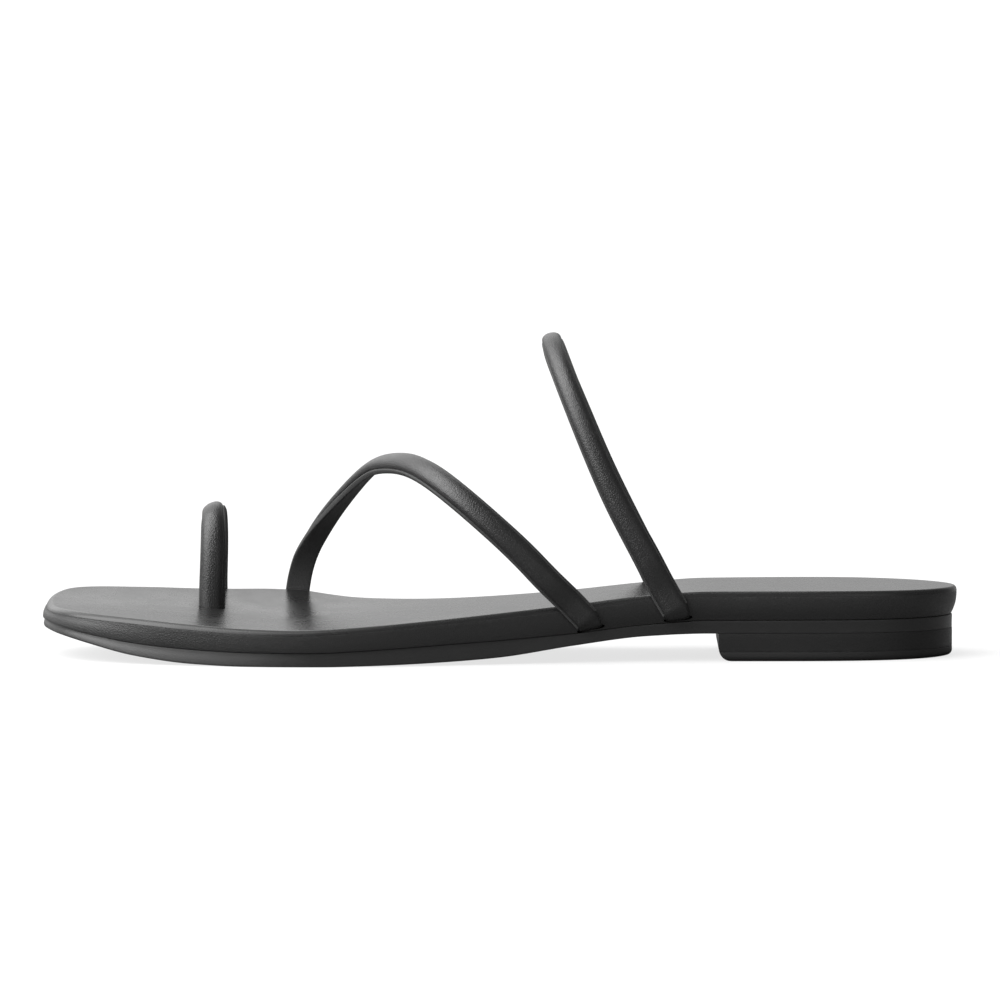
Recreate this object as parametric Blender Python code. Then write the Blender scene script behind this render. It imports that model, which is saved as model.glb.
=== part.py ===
"""A flat leather toe-loop sandal for the left foot, in metres, with +Z up.

The toe points along -X and the big toe's side faces +Y.  The sole stands on z = 0.
A station is a distance from the toe tip along the sole.  An offset is a distance
across it, negative on the little toe's side (lateral) and positive on the big toe's
side (medial).
"""

import math

import bmesh
import bpy
import numpy as np

MM = 0.001

# Driving dimensions
LENGTH = 250 * MM
BALL_WIDTH = 86 * MM
INSTEP_HEIGHT = 68 * MM
TOE_HEIGHT = 24.3 * MM
INSOLE_THICKNESS = 1.5 * MM
HEEL_BREAST_STATION = 184.5 * MM
HEEL_TIP_THICKNESS = 2.5 * MM
STRAP_WIDTH = 6.8 * MM
STRAP_THICKNESS = 3.8 * MM

# Clearances between pieces that meet
GAP = 0.3 * MM
WALL_GAP = 0.4 * MM
TAIL_GAP = 0.65 * MM
POCKET_CLEARANCE = 0.3 * MM

# Footprint of the footbed, anticlockwise from above, as shares of LENGTH and of BALL_WIDTH.
# The four corners split it into the toe, lateral, heel and medial sides.
OUTLINE = (
    # name, station, offset
    ("toe_lateral_corner", 0.027, -0.222),
    ("little_toe", 0.100, -0.388),
    ("fifth_joint", 0.180, -0.474),
    ("ball_lateral", 0.296, -0.523),
    ("behind_ball_lateral", 0.420, -0.473),
    ("waist_lateral", 0.560, -0.376),
    ("heel_start_lateral", 0.690, -0.319),
    ("heel_side_lateral", 0.830, -0.312),
    ("heel_lateral_corner", 0.967, -0.194),
    ("heel_back", 1.000, 0.000),
    ("heel_medial_corner", 0.967, 0.198),
    ("heel_side_medial", 0.830, 0.308),
    ("heel_start_medial", 0.690, 0.271),
    ("waist_medial", 0.590, 0.258),
    ("arch_medial", 0.460, 0.324),
    ("behind_ball_medial", 0.368, 0.418),
    ("ball_medial", 0.280, 0.476),
    ("joint_medial", 0.180, 0.440),
    ("big_toe", 0.090, 0.390),
    ("toe_medial_corner", 0.020, 0.300),
    ("toe_tip", 0.000, 0.080),
)

# Side view of the sole: heights of its layers above the floor, in millimetres, and
# how far the medial edge is turned up.
PROFILE = (
    # station share, underside, seam, top, medial lift
    (0.000, 7.8, 9.9, 13.8, 7.6),
    (0.020, 6.9, 9.1, 13.5, 7.1),
    (0.056, 4.9, 7.5, 13.0, 6.1),
    (0.104, 2.3, 5.7, 12.3, 5.4),
    (0.168, 0.5, 4.4, 11.1, 5.2),
    (0.228, 0.0, 3.8, 10.15, 5.3),
    (0.280, 0.0, 3.7, 9.85, 4.9),
    (0.312, 0.0, 3.8, 10.1, 3.7),
    (0.340, 0.1, 4.1, 10.5, 2.7),
    (0.384, 0.35, 4.7, 11.3, 1.9),
    (0.440, 0.9, 5.6, 12.5, 1.2),
    (0.500, 1.9, 6.5, 13.9, 0.8),
    (0.580, 4.7, 8.0, 15.9, 0.4),
    (0.660, 7.0, 10.1, 18.1, 0.0),
    (0.728, 7.6, 11.1, 19.15, 0.0),
    (0.860, 7.6, 11.2, 19.2, 0.0),
    (1.000, 7.6, 11.2, 19.0, 0.0),
)
LIFT_START = -6 * MM
LIFT_FULL = 41 * MM

# The foot form under the two long straps: instep height above the insole, as a share
# of INSTEP_HEIGHT, and the offset of its ridge.
FOOT_FORM = (
    # station share, instep share, ridge offset in millimetres
    (0.220, 0.308, 12.0),
    (0.300, 0.398, 11.0),
    (0.360, 0.540, 9.0),
    (0.424, 0.674, 6.5),
    (0.488, 0.826, 4.5),
    (0.560, 1.004, 2.5),
    (0.640, 1.085, 1.5),
    (0.720, 1.140, 1.0),
)

# Paths of the straps round the form: 0 degrees is the lateral edge of the footbed,
# 90 the ridge, 180 the medial edge.
FRONT_STRAP_PATH = (
    # station in millimetres, wrap in degrees, breadth as a share of STRAP_WIDTH
    (70.8, 160.3, 0.94),
    (73.9, 142.7, 0.88),
    (78.7, 124.9, 0.90),
    (85.1, 108.8, 0.94),
    (90.9, 92.5, 0.98),
    (96.6, 77.8, 1.04),
    (102.3, 64.1, 1.07),
    (112.4, 41.4, 1.07),
    (122.3, 25.2, 1.07),
    (132.7, 12.0, 1.09),
    (138.0, 6.2, 1.10),
)
REAR_STRAP_PATH = (
    (166.0, 175.6, 1.10),
    (158.9, 163.7, 1.05),
    (152.2, 150.3, 1.00),
    (146.2, 134.0, 0.97),
    (141.7, 115.2, 0.95),
    (139.9, 91.0, 0.94),
    (141.9, 66.7, 0.95),
    (145.9, 48.6, 0.97),
    (151.4, 32.6, 1.00),
    (157.7, 19.4, 1.06),
    (165.0, 7.7, 1.12),
)
# Where each strap lies on the side wall of the footbed
FRONT_STRAP_WALLS = {
    # station at the insole, station at the seam, breadth as a share of STRAP_WIDTH
    "medial": (69.2, 68.5, 0.97),
    "lateral": (144.8, 151.5, 1.10),
}
REAR_STRAP_WALLS = {
    "medial": (168.6, 171.8, 1.12),
    "lateral": (170.1, 174.6, 1.14),
}

# The loop round the big toe
TOE_LOOP_STATION = 46.1 * MM
TOE_LOOP_INNER_OFFSET = 16.5 * MM
TOE_LOOP_SLOPE = 0.50
TOE_LOOP_SQUARENESS = 0.72
TOE_LOOP_BREADTH = 1.05
TOE_LOOP_LEAN = 0.8 * MM
TOE_LOOP_WALLS = {"medial": (46.4, 46.6, TOE_LOOP_BREADTH)}
TOE_LOOP_LEG = 3 * MM
TOE_LOOP_WRAPS = (22, 40, 58, 76, 94, 112, 130, 148, 164)

# Strap section and its thinned ends
DOME_SHARE = 0.6
WALL_THICKNESS = 2.4 * MM
TAIL_THICKNESS = 1.5 * MM
TAIL_LENGTH = 9 * MM
TAIL_BEND = 2.2 * MM
TAIL_SLANT = 0.4
BEND_SHARES = (0.3, 0.6, 0.85)
WALL_SHARES = (1.0, 0.72, 0.45)
DOME_FULLNESS = 0.9
FLAT_FULLNESS = 0.5
SIDE_FULLNESS = 0.75

# Side walls from the lower edge to the upper one: how far each height is drawn in from
# the footprint, in millimetres, along the forepart and round the heel
INSOLE_WALL = (
    # height share, forepart inset, heel inset
    (0.0, 0.10, 0.05),
    (0.5, 0.00, 0.00),
    (1.0, 0.60, 0.60),
)
MIDSOLE_WALL = (
    (0.00, 0.80, 1.50),
    (0.22, 0.35, 0.90),
    (0.60, 0.00, 0.20),
    (1.00, 0.10, 0.05),
)
OUTSOLE_WALL = (
    (0.0, 0.90, 1.40),
    (0.3, 0.40, 1.30),
    (1.0, 0.25, 1.25),
)
WALL_CHANGE_START = 0.50
WALL_CHANGE_END = 0.72
HEEL_INSET = 1.25
HEEL_CORNER_RADIUS = 3.6
HEEL_EDGE_RADIUS = 1.4
HEEL_TIP_LEVELS = (0.0, 0.15, 0.45, 1.0)
HEEL_BLOCK_LEVELS = (0.0, 0.25, 1.0)

# Mesh fineness
LENGTH_CELLS = 38
WIDTH_CELLS = 8
HEEL_LENGTH_CELLS = 9
STRAP_SIDES = 12
STRAP_SECTIONS = 30
LOOP_SECTIONS = 20
OUTLINE_SAMPLES = 1200
NUDGE = 0.5
LEG_SHARES = (0.0, 0.5, 1.0)
SHARP_ANGLE = math.radians(40)
WELD = 0.01 * MM

COLLECTION = bpy.data.collections
UP = np.array((0.0, 0.0, 1.0))


# Curves through tables

def smooth_curve(knots, values, closed=False):
    """A function of the knots' parameter: the cubic with continuous curvature through the values."""
    knots = np.asarray(knots, float)
    values = np.asarray(values, float)
    steps = np.diff(knots)
    count = len(knots)
    system = np.zeros((count, count))
    right = np.zeros(values.shape)
    slopes = np.diff(values, axis=0) / steps.reshape(-1, *[1] * (values.ndim - 1))
    for i in range(1, count - 1):
        system[i, i - 1:i + 2] = steps[i - 1], 2 * (steps[i - 1] + steps[i]), steps[i]
        right[i] = 6 * (slopes[i] - slopes[i - 1])
    system[0, 0] = system[-1, -1] = 1
    if closed:
        system[0, :2] = 2 * (steps[-1] + steps[0]), steps[0]
        system[0, -2] = steps[-1]
        right[0] = 6 * (slopes[0] - slopes[-1])
        system[-1, 0] = -1
    bends = np.linalg.solve(system, right)

    def at(parameter):
        i = int(np.clip(np.searchsorted(knots, parameter) - 1, 0, count - 2))
        step = steps[i]
        after = (parameter - knots[i]) / step
        before = 1 - after
        curve = (before**3 - before) * bends[i] + (after**3 - after) * bends[i + 1]
        return before * values[i] + after * values[i + 1] + curve * step**2 / 6

    return at


def level_curve(knots, values):
    """A function that follows the table without ever overshooting it, so that flat stretches stay flat."""
    knots = np.asarray(knots, float)
    values = np.asarray(values, float)
    steps = np.diff(knots)
    slopes = np.diff(values) / steps
    tangents = np.zeros(len(knots))
    for i in range(1, len(knots) - 1):
        if slopes[i - 1] * slopes[i] > 0:
            tangents[i] = 2 / (1 / slopes[i - 1] + 1 / slopes[i])

    def at(parameter):
        parameter = min(max(parameter, knots[0]), knots[-1])
        i = int(np.clip(np.searchsorted(knots, parameter) - 1, 0, len(knots) - 2))
        step = steps[i]
        t = (parameter - knots[i]) / step
        ends = (1 + 2 * t) * (1 - t)**2 * values[i] + t**2 * (3 - 2 * t) * values[i + 1]
        turns = t * (1 - t)**2 * tangents[i] + t**2 * (t - 1) * tangents[i + 1]
        return ends + turns * step

    return at


def chord_lengths(points):
    """Running distance along a row of points."""
    return np.concatenate(([0], np.cumsum(np.linalg.norm(np.diff(points, axis=0), axis=1))))


def table_column(table, column, scale):
    """One column of a table against its first column, which holds shares of LENGTH."""
    stations = [row[0] * LENGTH for row in table]
    return level_curve(stations, [row[column] * scale for row in table])


# Footprint

class Footprint:
    """The closed outline of the footbed and the places of its four corners."""

    def __init__(self):
        points = np.array([(row[1] * LENGTH, row[2] * BALL_WIDTH) for row in OUTLINE])
        closed = np.vstack((points, points[:1]))
        self.knots = chord_lengths(closed)
        self.curve = smooth_curve(self.knots, closed, closed=True)
        self.corner = {row[0]: self.knots[i] for i, row in enumerate(OUTLINE)}
        self.length = self.knots[-1]
        stretches = {
            "lateral": ("toe_lateral_corner", "heel_lateral_corner"),
            "medial": ("heel_medial_corner", "toe_medial_corner"),
        }
        self.stretch = {}
        for side, (start, end) in stretches.items():
            parameters = np.linspace(self.corner[start], self.corner[end], OUTLINE_SAMPLES)
            stations = np.array([self.curve(p)[0] for p in parameters])
            order = np.argsort(stations)
            self.stretch[side] = stations[order], parameters[order]

    def normal(self, parameter):
        """Outward direction of the outline, in the plane of the sole."""
        step = self.length / OUTLINE_SAMPLES
        before = self.curve((parameter - step) % self.length)
        after = self.curve((parameter + step) % self.length)
        along = (after - before) / np.linalg.norm(after - before)
        return np.array((along[1], -along[0]))

    def inset_point(self, parameter, insets):
        """An outline point drawn in by the forepart inset, the heel inset or a mix of both."""
        parameter = parameter % self.length
        point = self.curve(parameter)
        share = (point[0] / LENGTH - WALL_CHANGE_START) / (WALL_CHANGE_END - WALL_CHANGE_START)
        share = min(max(share, 0.0), 1.0)
        share *= share * (3 - 2 * share)
        return point - self.normal(parameter) * (insets[0] * (1 - share) + insets[1] * share)

    def parameter_at(self, side, station):
        """The outline parameter where a long side passes a station."""
        return float(np.interp(station, *self.stretch[side]))

    def edge(self, side, station):
        """Plan point and outward normal of a long side at a station."""
        parameter = self.parameter_at(side, station)
        return self.curve(parameter), self.normal(parameter)

    def side_points(self, start, end, cells, insets):
        return np.array([self.inset_point(p, insets) for p in np.linspace(start, end, cells + 1)])


FOOTPRINT = Footprint()


def patch(toe, heel, lateral, medial):
    """A grid of plan points filled in between four sides that meet at the corners."""
    rows, columns = len(lateral), len(toe)
    u = np.linspace(0, 1, rows).reshape(-1, 1, 1)
    v = np.linspace(0, 1, columns).reshape(1, -1, 1)
    along = (1 - v) * lateral[:, None] + v * medial[:, None]
    across = (1 - u) * toe[None] + u * heel[None]
    corners = (1 - u) * ((1 - v) * toe[0] + v * toe[-1]) + u * ((1 - v) * heel[0] + v * heel[-1])
    return along + across - corners


def sole_patch(insets):
    """Plan grid of the whole footprint, drawn in by the forepart and heel insets."""
    corner, side = FOOTPRINT.corner, FOOTPRINT.side_points
    toe_end = corner["toe_lateral_corner"] + FOOTPRINT.length
    return patch(
        side(toe_end, corner["toe_medial_corner"], WIDTH_CELLS, insets),
        side(corner["heel_lateral_corner"], corner["heel_medial_corner"], WIDTH_CELLS, insets),
        side(corner["toe_lateral_corner"], corner["heel_lateral_corner"], LENGTH_CELLS, insets),
        side(corner["toe_medial_corner"], corner["heel_medial_corner"], LENGTH_CELLS, insets),
    )


def heel_patch(inset, setback):
    """Plan grid of the heel: the footprint behind the breast, which is straight."""
    corner, side = FOOTPRINT.corner, FOOTPRINT.side_points
    start = HEEL_BREAST_STATION + setback
    insets = inset, inset
    lateral = side(FOOTPRINT.parameter_at("lateral", start), corner["heel_lateral_corner"],
                   HEEL_LENGTH_CELLS, insets)
    medial = side(FOOTPRINT.parameter_at("medial", start), corner["heel_medial_corner"],
                  HEEL_LENGTH_CELLS, insets)
    share = np.linspace(0, 1, WIDTH_CELLS + 1).reshape(-1, 1)
    breast = lateral[0] * (1 - share) + medial[0] * share
    heel = side(corner["heel_lateral_corner"], corner["heel_medial_corner"], WIDTH_CELLS, insets)
    return patch(breast, heel, lateral, medial)


# Surfaces of the sole

UNDERSIDE = table_column(PROFILE, 1, MM)
SEAM = table_column(PROFILE, 2, MM)
TOP = table_column(PROFILE, 3, MM)
LIFT = table_column(PROFILE, 4, MM)


def lift(station, offset):
    """How far the dished medial side stands up from the flat of the sole."""
    share = max(0.0, offset - LIFT_START) / (LIFT_FULL - LIFT_START)
    return LIFT(station) * share**2


def outsole_bottom(station, offset):
    return UNDERSIDE(station) + lift(station, offset)


def outsole_top(station, offset):
    return SEAM(station) - GAP / 2 + lift(station, offset)


def midsole_bottom(station, offset):
    return outsole_top(station, offset) + GAP


def insole_top(station, offset):
    return TOP(station) + lift(station, offset)


def insole_bottom(station, offset):
    return insole_top(station, offset) - INSOLE_THICKNESS


def midsole_top(station, offset):
    return insole_bottom(station, offset) - GAP


def heel_top(station, offset):
    return outsole_bottom(station, offset) - GAP


def tip_top(station, offset):
    return HEEL_TIP_THICKNESS


def heel_block_bottom(station, offset):
    return HEEL_TIP_THICKNESS + GAP


def floor(station, offset):
    return 0.0


def place(station, offset, height):
    """A point of the part from its station, offset and height."""
    return np.array((station - LENGTH / 2, offset, height))


# Objects

def collection(name):
    if name not in COLLECTION:
        bpy.context.scene.collection.children.link(COLLECTION.new(name))
    return COLLECTION[name]


def material(name, colour, roughness):
    """A plain Principled finish."""
    made = bpy.data.materials.new(name)
    made.use_nodes = True
    shader = made.node_tree.nodes["Principled BSDF"]
    shader.inputs["Base Color"].default_value = (*colour, 1)
    shader.inputs["Roughness"].default_value = roughness
    shader.inputs["Metallic"].default_value = 0
    return made


def add_object(name, bm, finish=None):
    """Turns a bmesh into an object: a part with its finish, or a cutter without one."""
    bmesh.ops.recalc_face_normals(bm, faces=bm.faces)
    mesh = bpy.data.meshes.new(name)
    bm.to_mesh(mesh)
    bm.free()
    obj = bpy.data.objects.new(name, mesh)
    if finish:
        collection("sandal").objects.link(obj)
        mesh.materials.append(finish)
        mesh.shade_smooth()
        mesh.set_sharp_from_angle(angle=SHARP_ANGLE)
    else:
        collection("cutters").objects.link(obj)
        obj.hide_render = True
        obj.display_type = "WIRE"
    return obj


def cut(obj, cutters):
    for cutter in cutters:
        modifier = obj.modifiers.new(cutter.name, "BOOLEAN")
        modifier.operation = "DIFFERENCE"
        modifier.solver = "EXACT"
        modifier.object = cutter


def stacked_solid(name, finish, levels, bottom, top):
    """A solid from plan grids stacked one over another.

    Each level is (height share, plan grid); the share runs from the bottom surface, 0,
    to the top one, 1.
    """
    rows, columns = levels[0][1].shape[0] - 1, levels[0][1].shape[1] - 1
    bm = bmesh.new()
    bmesh.ops.create_grid(bm, x_segments=rows, y_segments=columns, size=1)
    cap = [*bm.faces, *bm.edges]
    for level in range(1, len(levels)):
        cap = bmesh.ops.extrude_face_region(bm, geom=cap, use_keep_orig=level == 1)["geom"]
        raised = [item for item in cap if isinstance(item, bmesh.types.BMVert)]
        bmesh.ops.translate(bm, verts=raised, vec=UP)
    for vert in bm.verts:
        i = round((vert.co.x + 1) / 2 * rows)
        j = round((vert.co.y + 1) / 2 * columns)
        share, grid = levels[round(vert.co.z)]
        station, offset = grid[i, j]
        low, high = bottom(station, offset), top(station, offset)
        vert.co = place(station, offset, low + share * (high - low))
    return add_object(name, bm, finish)


def sole_layer(name, finish, wall, bottom, top):
    levels = [(share, sole_patch((forepart * MM, heel * MM))) for share, forepart, heel in wall]
    return stacked_solid(name, finish, levels, bottom, top)


def rounded(height, radius):
    """How far a quarter-round lower edge is drawn in at a height above it."""
    rest = max(0.0, radius - height)
    return radius - math.sqrt(max(0.0, radius**2 - rest**2))


def heel_piece(name, finish, shares, bottom, top, base, thickness):
    """A layer of the heel, with its front and back lower edges rounded."""
    levels = []
    for share in shares:
        height = (base + share * thickness) / MM
        inset = HEEL_INSET + rounded(height, HEEL_EDGE_RADIUS)
        setback = rounded(height, HEEL_CORNER_RADIUS)
        levels.append((share, heel_patch(inset * MM, setback * MM)))
    return stacked_solid(name, finish, levels, bottom, top)


# Straps

class Frame:
    """One cross-section of a strap: the middle of its inner face, the way it faces and its size."""

    def __init__(self, base, facing, thickness, breadth):
        self.base = np.asarray(base, float)
        self.facing = np.asarray(facing, float)
        self.thickness = thickness
        self.breadth = breadth


def arch_point(lateral, ridge, medial, wrap, squareness):
    """A point on an arch over the foot, between two feet and a ridge given as (offset, height).

    It stands on its lateral foot at 0 degrees and on its medial one at 180.
    """
    angle = math.radians(wrap)
    foot = lateral if wrap <= 90 else medial
    out = abs(math.cos(angle))**squareness
    up = abs(math.sin(angle))**squareness
    return ridge[0] + (foot[0] - ridge[0]) * out, foot[1] + (ridge[1] - foot[1]) * up


def insole_edge(side, station):
    """Offset and height of the insole's edge at a station."""
    offset = FOOTPRINT.edge(side, station)[0][1]
    return offset, insole_top(station, offset)


FORM_HEIGHT = table_column(FOOT_FORM, 1, INSTEP_HEIGHT)
FORM_RIDGE = table_column(FOOT_FORM, 2, MM)


def foot_point(station, wrap):
    """A point on the foot form."""
    ridge = FORM_RIDGE(station), TOP(station) + FORM_HEIGHT(station)
    arch = arch_point(insole_edge("lateral", station), ridge, insole_edge("medial", station), wrap, 1.0)
    return place(station, *arch)


def toe_point(station, wrap):
    """A point on the big toe's form, which rises towards the foot."""
    inner = TOE_LOOP_INNER_OFFSET, insole_top(station, TOE_LOOP_INNER_OFFSET)
    outer = insole_edge("medial", station)
    height = TOP(TOE_LOOP_STATION) + TOE_HEIGHT + TOE_LOOP_SLOPE * (station - TOE_LOOP_STATION)
    ridge = (inner[0] + outer[0]) / 2, height
    return place(station, *arch_point(inner, ridge, outer, wrap, TOE_LOOP_SQUARENESS))


def form_frame(form, station, wrap, breadth):
    """The strap's section where it lies on a form."""
    along = form(station + NUDGE * MM, wrap) - form(station - NUDGE * MM, wrap)
    around = form(station, wrap + NUDGE) - form(station, wrap - NUDGE)
    facing = np.cross(along, around)
    facing /= np.linalg.norm(facing)
    return Frame(form(station, wrap) + facing * WALL_GAP, facing, STRAP_THICKNESS, breadth)


def wall_frames(side, wall):
    """The strap's sections down the side of the footbed, between its stations at the insole and at the seam."""
    at_insole, at_seam, breadth = wall
    frames = []
    for share in WALL_SHARES:
        station = (at_insole * share + at_seam * (1 - share)) * MM
        (_, offset), normal = FOOTPRINT.edge(side, station)
        low, high = midsole_bottom(station, offset), insole_top(station, offset)
        facing = np.array((*normal, 0.0))
        base = place(station, offset, low + share * (high - low)) + facing * WALL_GAP
        frames.append(Frame(base, facing, WALL_THICKNESS, breadth))
    return frames


def tail_frames(last, before):
    """The bend round the seam and the tail under the midsole, after a strap's last section on the wall."""
    run = last.base - before.base
    sideways = np.array((run[0], run[1], 0.0))
    sideways -= last.facing * (sideways @ last.facing)
    sideways *= TAIL_SLANT / abs(run[2])

    def under(distance):
        point = last.base - last.facing * distance + sideways * (TAIL_BEND + distance)
        station, offset = point[0] + LENGTH / 2, point[1]
        slopes = (outsole_top(station + MM, offset) - outsole_top(station - MM, offset),
                  outsole_top(station, offset + MM) - outsole_top(station, offset - MM))
        facing = np.array((*slopes, -2 * MM))
        point[2] = outsole_top(station, offset) + TAIL_GAP + TAIL_THICKNESS
        return Frame(point, facing / np.linalg.norm(facing), TAIL_THICKNESS, last.breadth)

    corner, start, end = under(0.0), under(TAIL_BEND), under(TAIL_BEND + TAIL_LENGTH)
    frames = []
    for share in BEND_SHARES:
        base = (1 - share)**2 * last.base + 2 * share * (1 - share) * corner.base + share**2 * start.base
        facing = (1 - share) * last.facing + share * start.facing
        thinned = math.sqrt(share)
        thickness = (1 - thinned) * last.thickness + thinned * start.thickness
        frames.append(Frame(base, facing, thickness, last.breadth))
    return [*frames, start, end]


def refine(frames, sections):
    """The same strap with evenly spaced sections."""
    bases = np.array([frame.base for frame in frames])
    knots = chord_lengths(bases)
    path = smooth_curve(knots, bases)
    facing = smooth_curve(knots, np.array([frame.facing for frame in frames]))
    thickness = level_curve(knots, [frame.thickness for frame in frames])
    breadth = level_curve(knots, [frame.breadth for frame in frames])
    places = np.linspace(0, knots[-1], sections)
    return [Frame(path(p), facing(p), thickness(p), breadth(p)) for p in places]


def section_point(frame, along, index, clearance):
    """A point of a strap's section: domed outside, nearly flat against the foot."""
    angle = 2 * math.pi * index / STRAP_SIDES
    cosine, sine = math.cos(angle), math.sin(angle)
    facing = frame.facing - along * (frame.facing @ along)
    facing /= np.linalg.norm(facing)
    across = np.cross(along, facing)
    share, fullness = (DOME_SHARE, DOME_FULLNESS) if sine > 0 else (1 - DOME_SHARE, FLAT_FULLNESS)
    half_width = frame.breadth * STRAP_WIDTH / 2 + clearance
    wide = half_width * math.copysign(abs(cosine)**SIDE_FULLNESS, cosine)
    deep = (frame.thickness * share + clearance) * math.copysign(abs(sine)**fullness, sine)
    return frame.base + across * wide + facing * (deep + (1 - DOME_SHARE) * frame.thickness)


def strap_solid(name, frames, finish=None, clearance=0.0):
    """A closed strap through its sections, or the cutter that makes room for it."""
    bases = np.array([frame.base for frame in frames])
    alongs = np.gradient(bases, chord_lengths(bases), axis=0)
    alongs /= np.linalg.norm(alongs, axis=1).reshape(-1, 1)
    ends = {0: -clearance, len(frames) - 1: clearance}
    bm = bmesh.new()
    bmesh.ops.create_grid(bm, x_segments=len(frames) - 1, y_segments=STRAP_SIDES, size=1)
    for vert in bm.verts:
        i = round((vert.co.x + 1) / 2 * (len(frames) - 1))
        j = round((vert.co.y + 1) / 2 * STRAP_SIDES)
        vert.co = section_point(frames[i], alongs[i], j, clearance) + alongs[i] * ends.get(i, 0.0)
    bmesh.ops.remove_doubles(bm, verts=bm.verts, dist=WELD)
    rims = [edge for edge in bm.edges if edge.is_boundary]
    bmesh.ops.holes_fill(bm, edges=rims, sides=0)
    return add_object(name, bm, finish)


def wrapped_strap(path, walls):
    """Sections of a strap that wraps both edges of the footbed, from its medial tail to its lateral one."""
    over = [form_frame(foot_point, station * MM, wrap, breadth) for station, wrap, breadth in path]
    medial = wall_frames("medial", walls["medial"])
    lateral = wall_frames("lateral", walls["lateral"])
    body = refine([*medial[::-1], *over, *lateral], STRAP_SECTIONS)
    return tail_frames(body[0], body[1])[::-1], body, tail_frames(body[-1], body[-2])


def toe_loop_frames():
    """Sections of the toe loop: its leg through the sole, the whole loop, and its medial tail."""
    stations = np.linspace(TOE_LOOP_STATION, TOE_LOOP_WALLS["medial"][0] * MM, len(TOE_LOOP_WRAPS))
    arch = []
    for station, wrap in zip(stations, TOE_LOOP_WRAPS):
        leaning = station + TOE_LOOP_LEAN * math.sin(math.radians(wrap))
        arch.append(form_frame(toe_point, leaning, wrap, TOE_LOOP_BREADTH))
    offset = TOE_LOOP_INNER_OFFSET - WALL_GAP
    low = midsole_bottom(TOE_LOOP_STATION, offset)
    high = insole_top(TOE_LOOP_STATION, offset) + TOE_LOOP_LEG
    leg = []
    for share in LEG_SHARES:
        base = place(TOE_LOOP_STATION, offset, low + share * (high - low))
        leg.append(Frame(base, (0.0, -1.0, 0.0), STRAP_THICKNESS, TOE_LOOP_BREADTH))
    body = refine([*leg, *arch, *wall_frames("medial", TOE_LOOP_WALLS["medial"])], LOOP_SECTIONS)
    return leg, body, tail_frames(body[-1], body[-2])


# The sandal

def build_straps(leather):
    """The upper: three straps, and the cutters of their pockets in the footbed."""
    pockets = []
    for name, path, walls in (("front_strap", FRONT_STRAP_PATH, FRONT_STRAP_WALLS),
                              ("rear_strap", REAR_STRAP_PATH, REAR_STRAP_WALLS)):
        start, body, end = wrapped_strap(path, walls)
        strap_solid(name, [*start, *body, *end], leather)
        for side, frames in (("medial", [*start, body[0]]), ("lateral", [body[-1], *end])):
            pockets.append(strap_solid(f"{name}_{side}_pocket", frames, clearance=POCKET_CLEARANCE))
    leg, body, end = toe_loop_frames()
    strap_solid("toe_loop", [*body, *end], leather)
    pockets.append(strap_solid("toe_loop_pocket", [body[-1], *end], clearance=POCKET_CLEARANCE))
    slot = strap_solid("toe_loop_slot", leg, clearance=POCKET_CLEARANCE)
    return pockets, slot


def build_sole(wrapped, lining, rubber):
    """The footbed, the outsole and the heel."""
    insole = sole_layer("insole", lining, INSOLE_WALL, insole_bottom, insole_top)
    midsole = sole_layer("midsole", wrapped, MIDSOLE_WALL, midsole_bottom, midsole_top)
    sole_layer("outsole", rubber, OUTSOLE_WALL, outsole_bottom, outsole_top)
    block_base = HEEL_TIP_THICKNESS + GAP
    block_height = UNDERSIDE(LENGTH) - GAP - block_base
    heel_piece("heel_block", wrapped, HEEL_BLOCK_LEVELS, heel_block_bottom, heel_top,
               block_base, block_height)
    heel_piece("heel_tip", rubber, HEEL_TIP_LEVELS, floor, tip_top, 0.0, HEEL_TIP_THICKNESS)
    return insole, midsole


def centre_on_origin():
    """Parents the pieces to an empty that brings the middle of their box over the origin."""
    bpy.context.view_layer.update()
    parts = list(collection("sandal").objects)
    corners = np.array([vert.co for part in parts for vert in part.data.vertices])
    middle = (corners.min(axis=0) + corners.max(axis=0)) / 2
    holder = bpy.data.objects.new("sandal_origin", None)
    holder.location = (-middle[0], -middle[1], 0)
    collection("sandal").objects.link(holder)
    for obj in parts + list(collection("cutters").objects):
        obj.parent = holder


def main():
    for obj in list(bpy.data.objects):
        bpy.data.objects.remove(obj)
    leather = material("strap_leather", (0.012, 0.012, 0.012), 0.42)
    wrapped = material("wrapped_leather", (0.011, 0.011, 0.011), 0.45)
    lining = material("insole_leather", (0.016, 0.016, 0.016), 0.38)
    rubber = material("sole_rubber", (0.014, 0.014, 0.014), 0.55)
    insole, midsole = build_sole(wrapped, lining, rubber)
    pockets, slot = build_straps(leather)
    cut(insole, [slot])
    cut(midsole, [slot, *pockets])
    centre_on_origin()


main()
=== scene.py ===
"""Looks of a black leather toe-loop sandal for the left foot, in metres with +Z up.

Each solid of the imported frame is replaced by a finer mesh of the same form, finished as
leather or rubber.  The toe points along -X.  A station is a distance from the toe tip
along the sole.  An offset is a distance across it, negative on the little toe's side
(lateral) and positive on the big toe's side (medial).
"""

from __future__ import annotations

import logging
import math
from abc import ABC, abstractmethod
from dataclasses import dataclass, field
from enum import Enum
from typing import Callable, NamedTuple, Sequence

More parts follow.
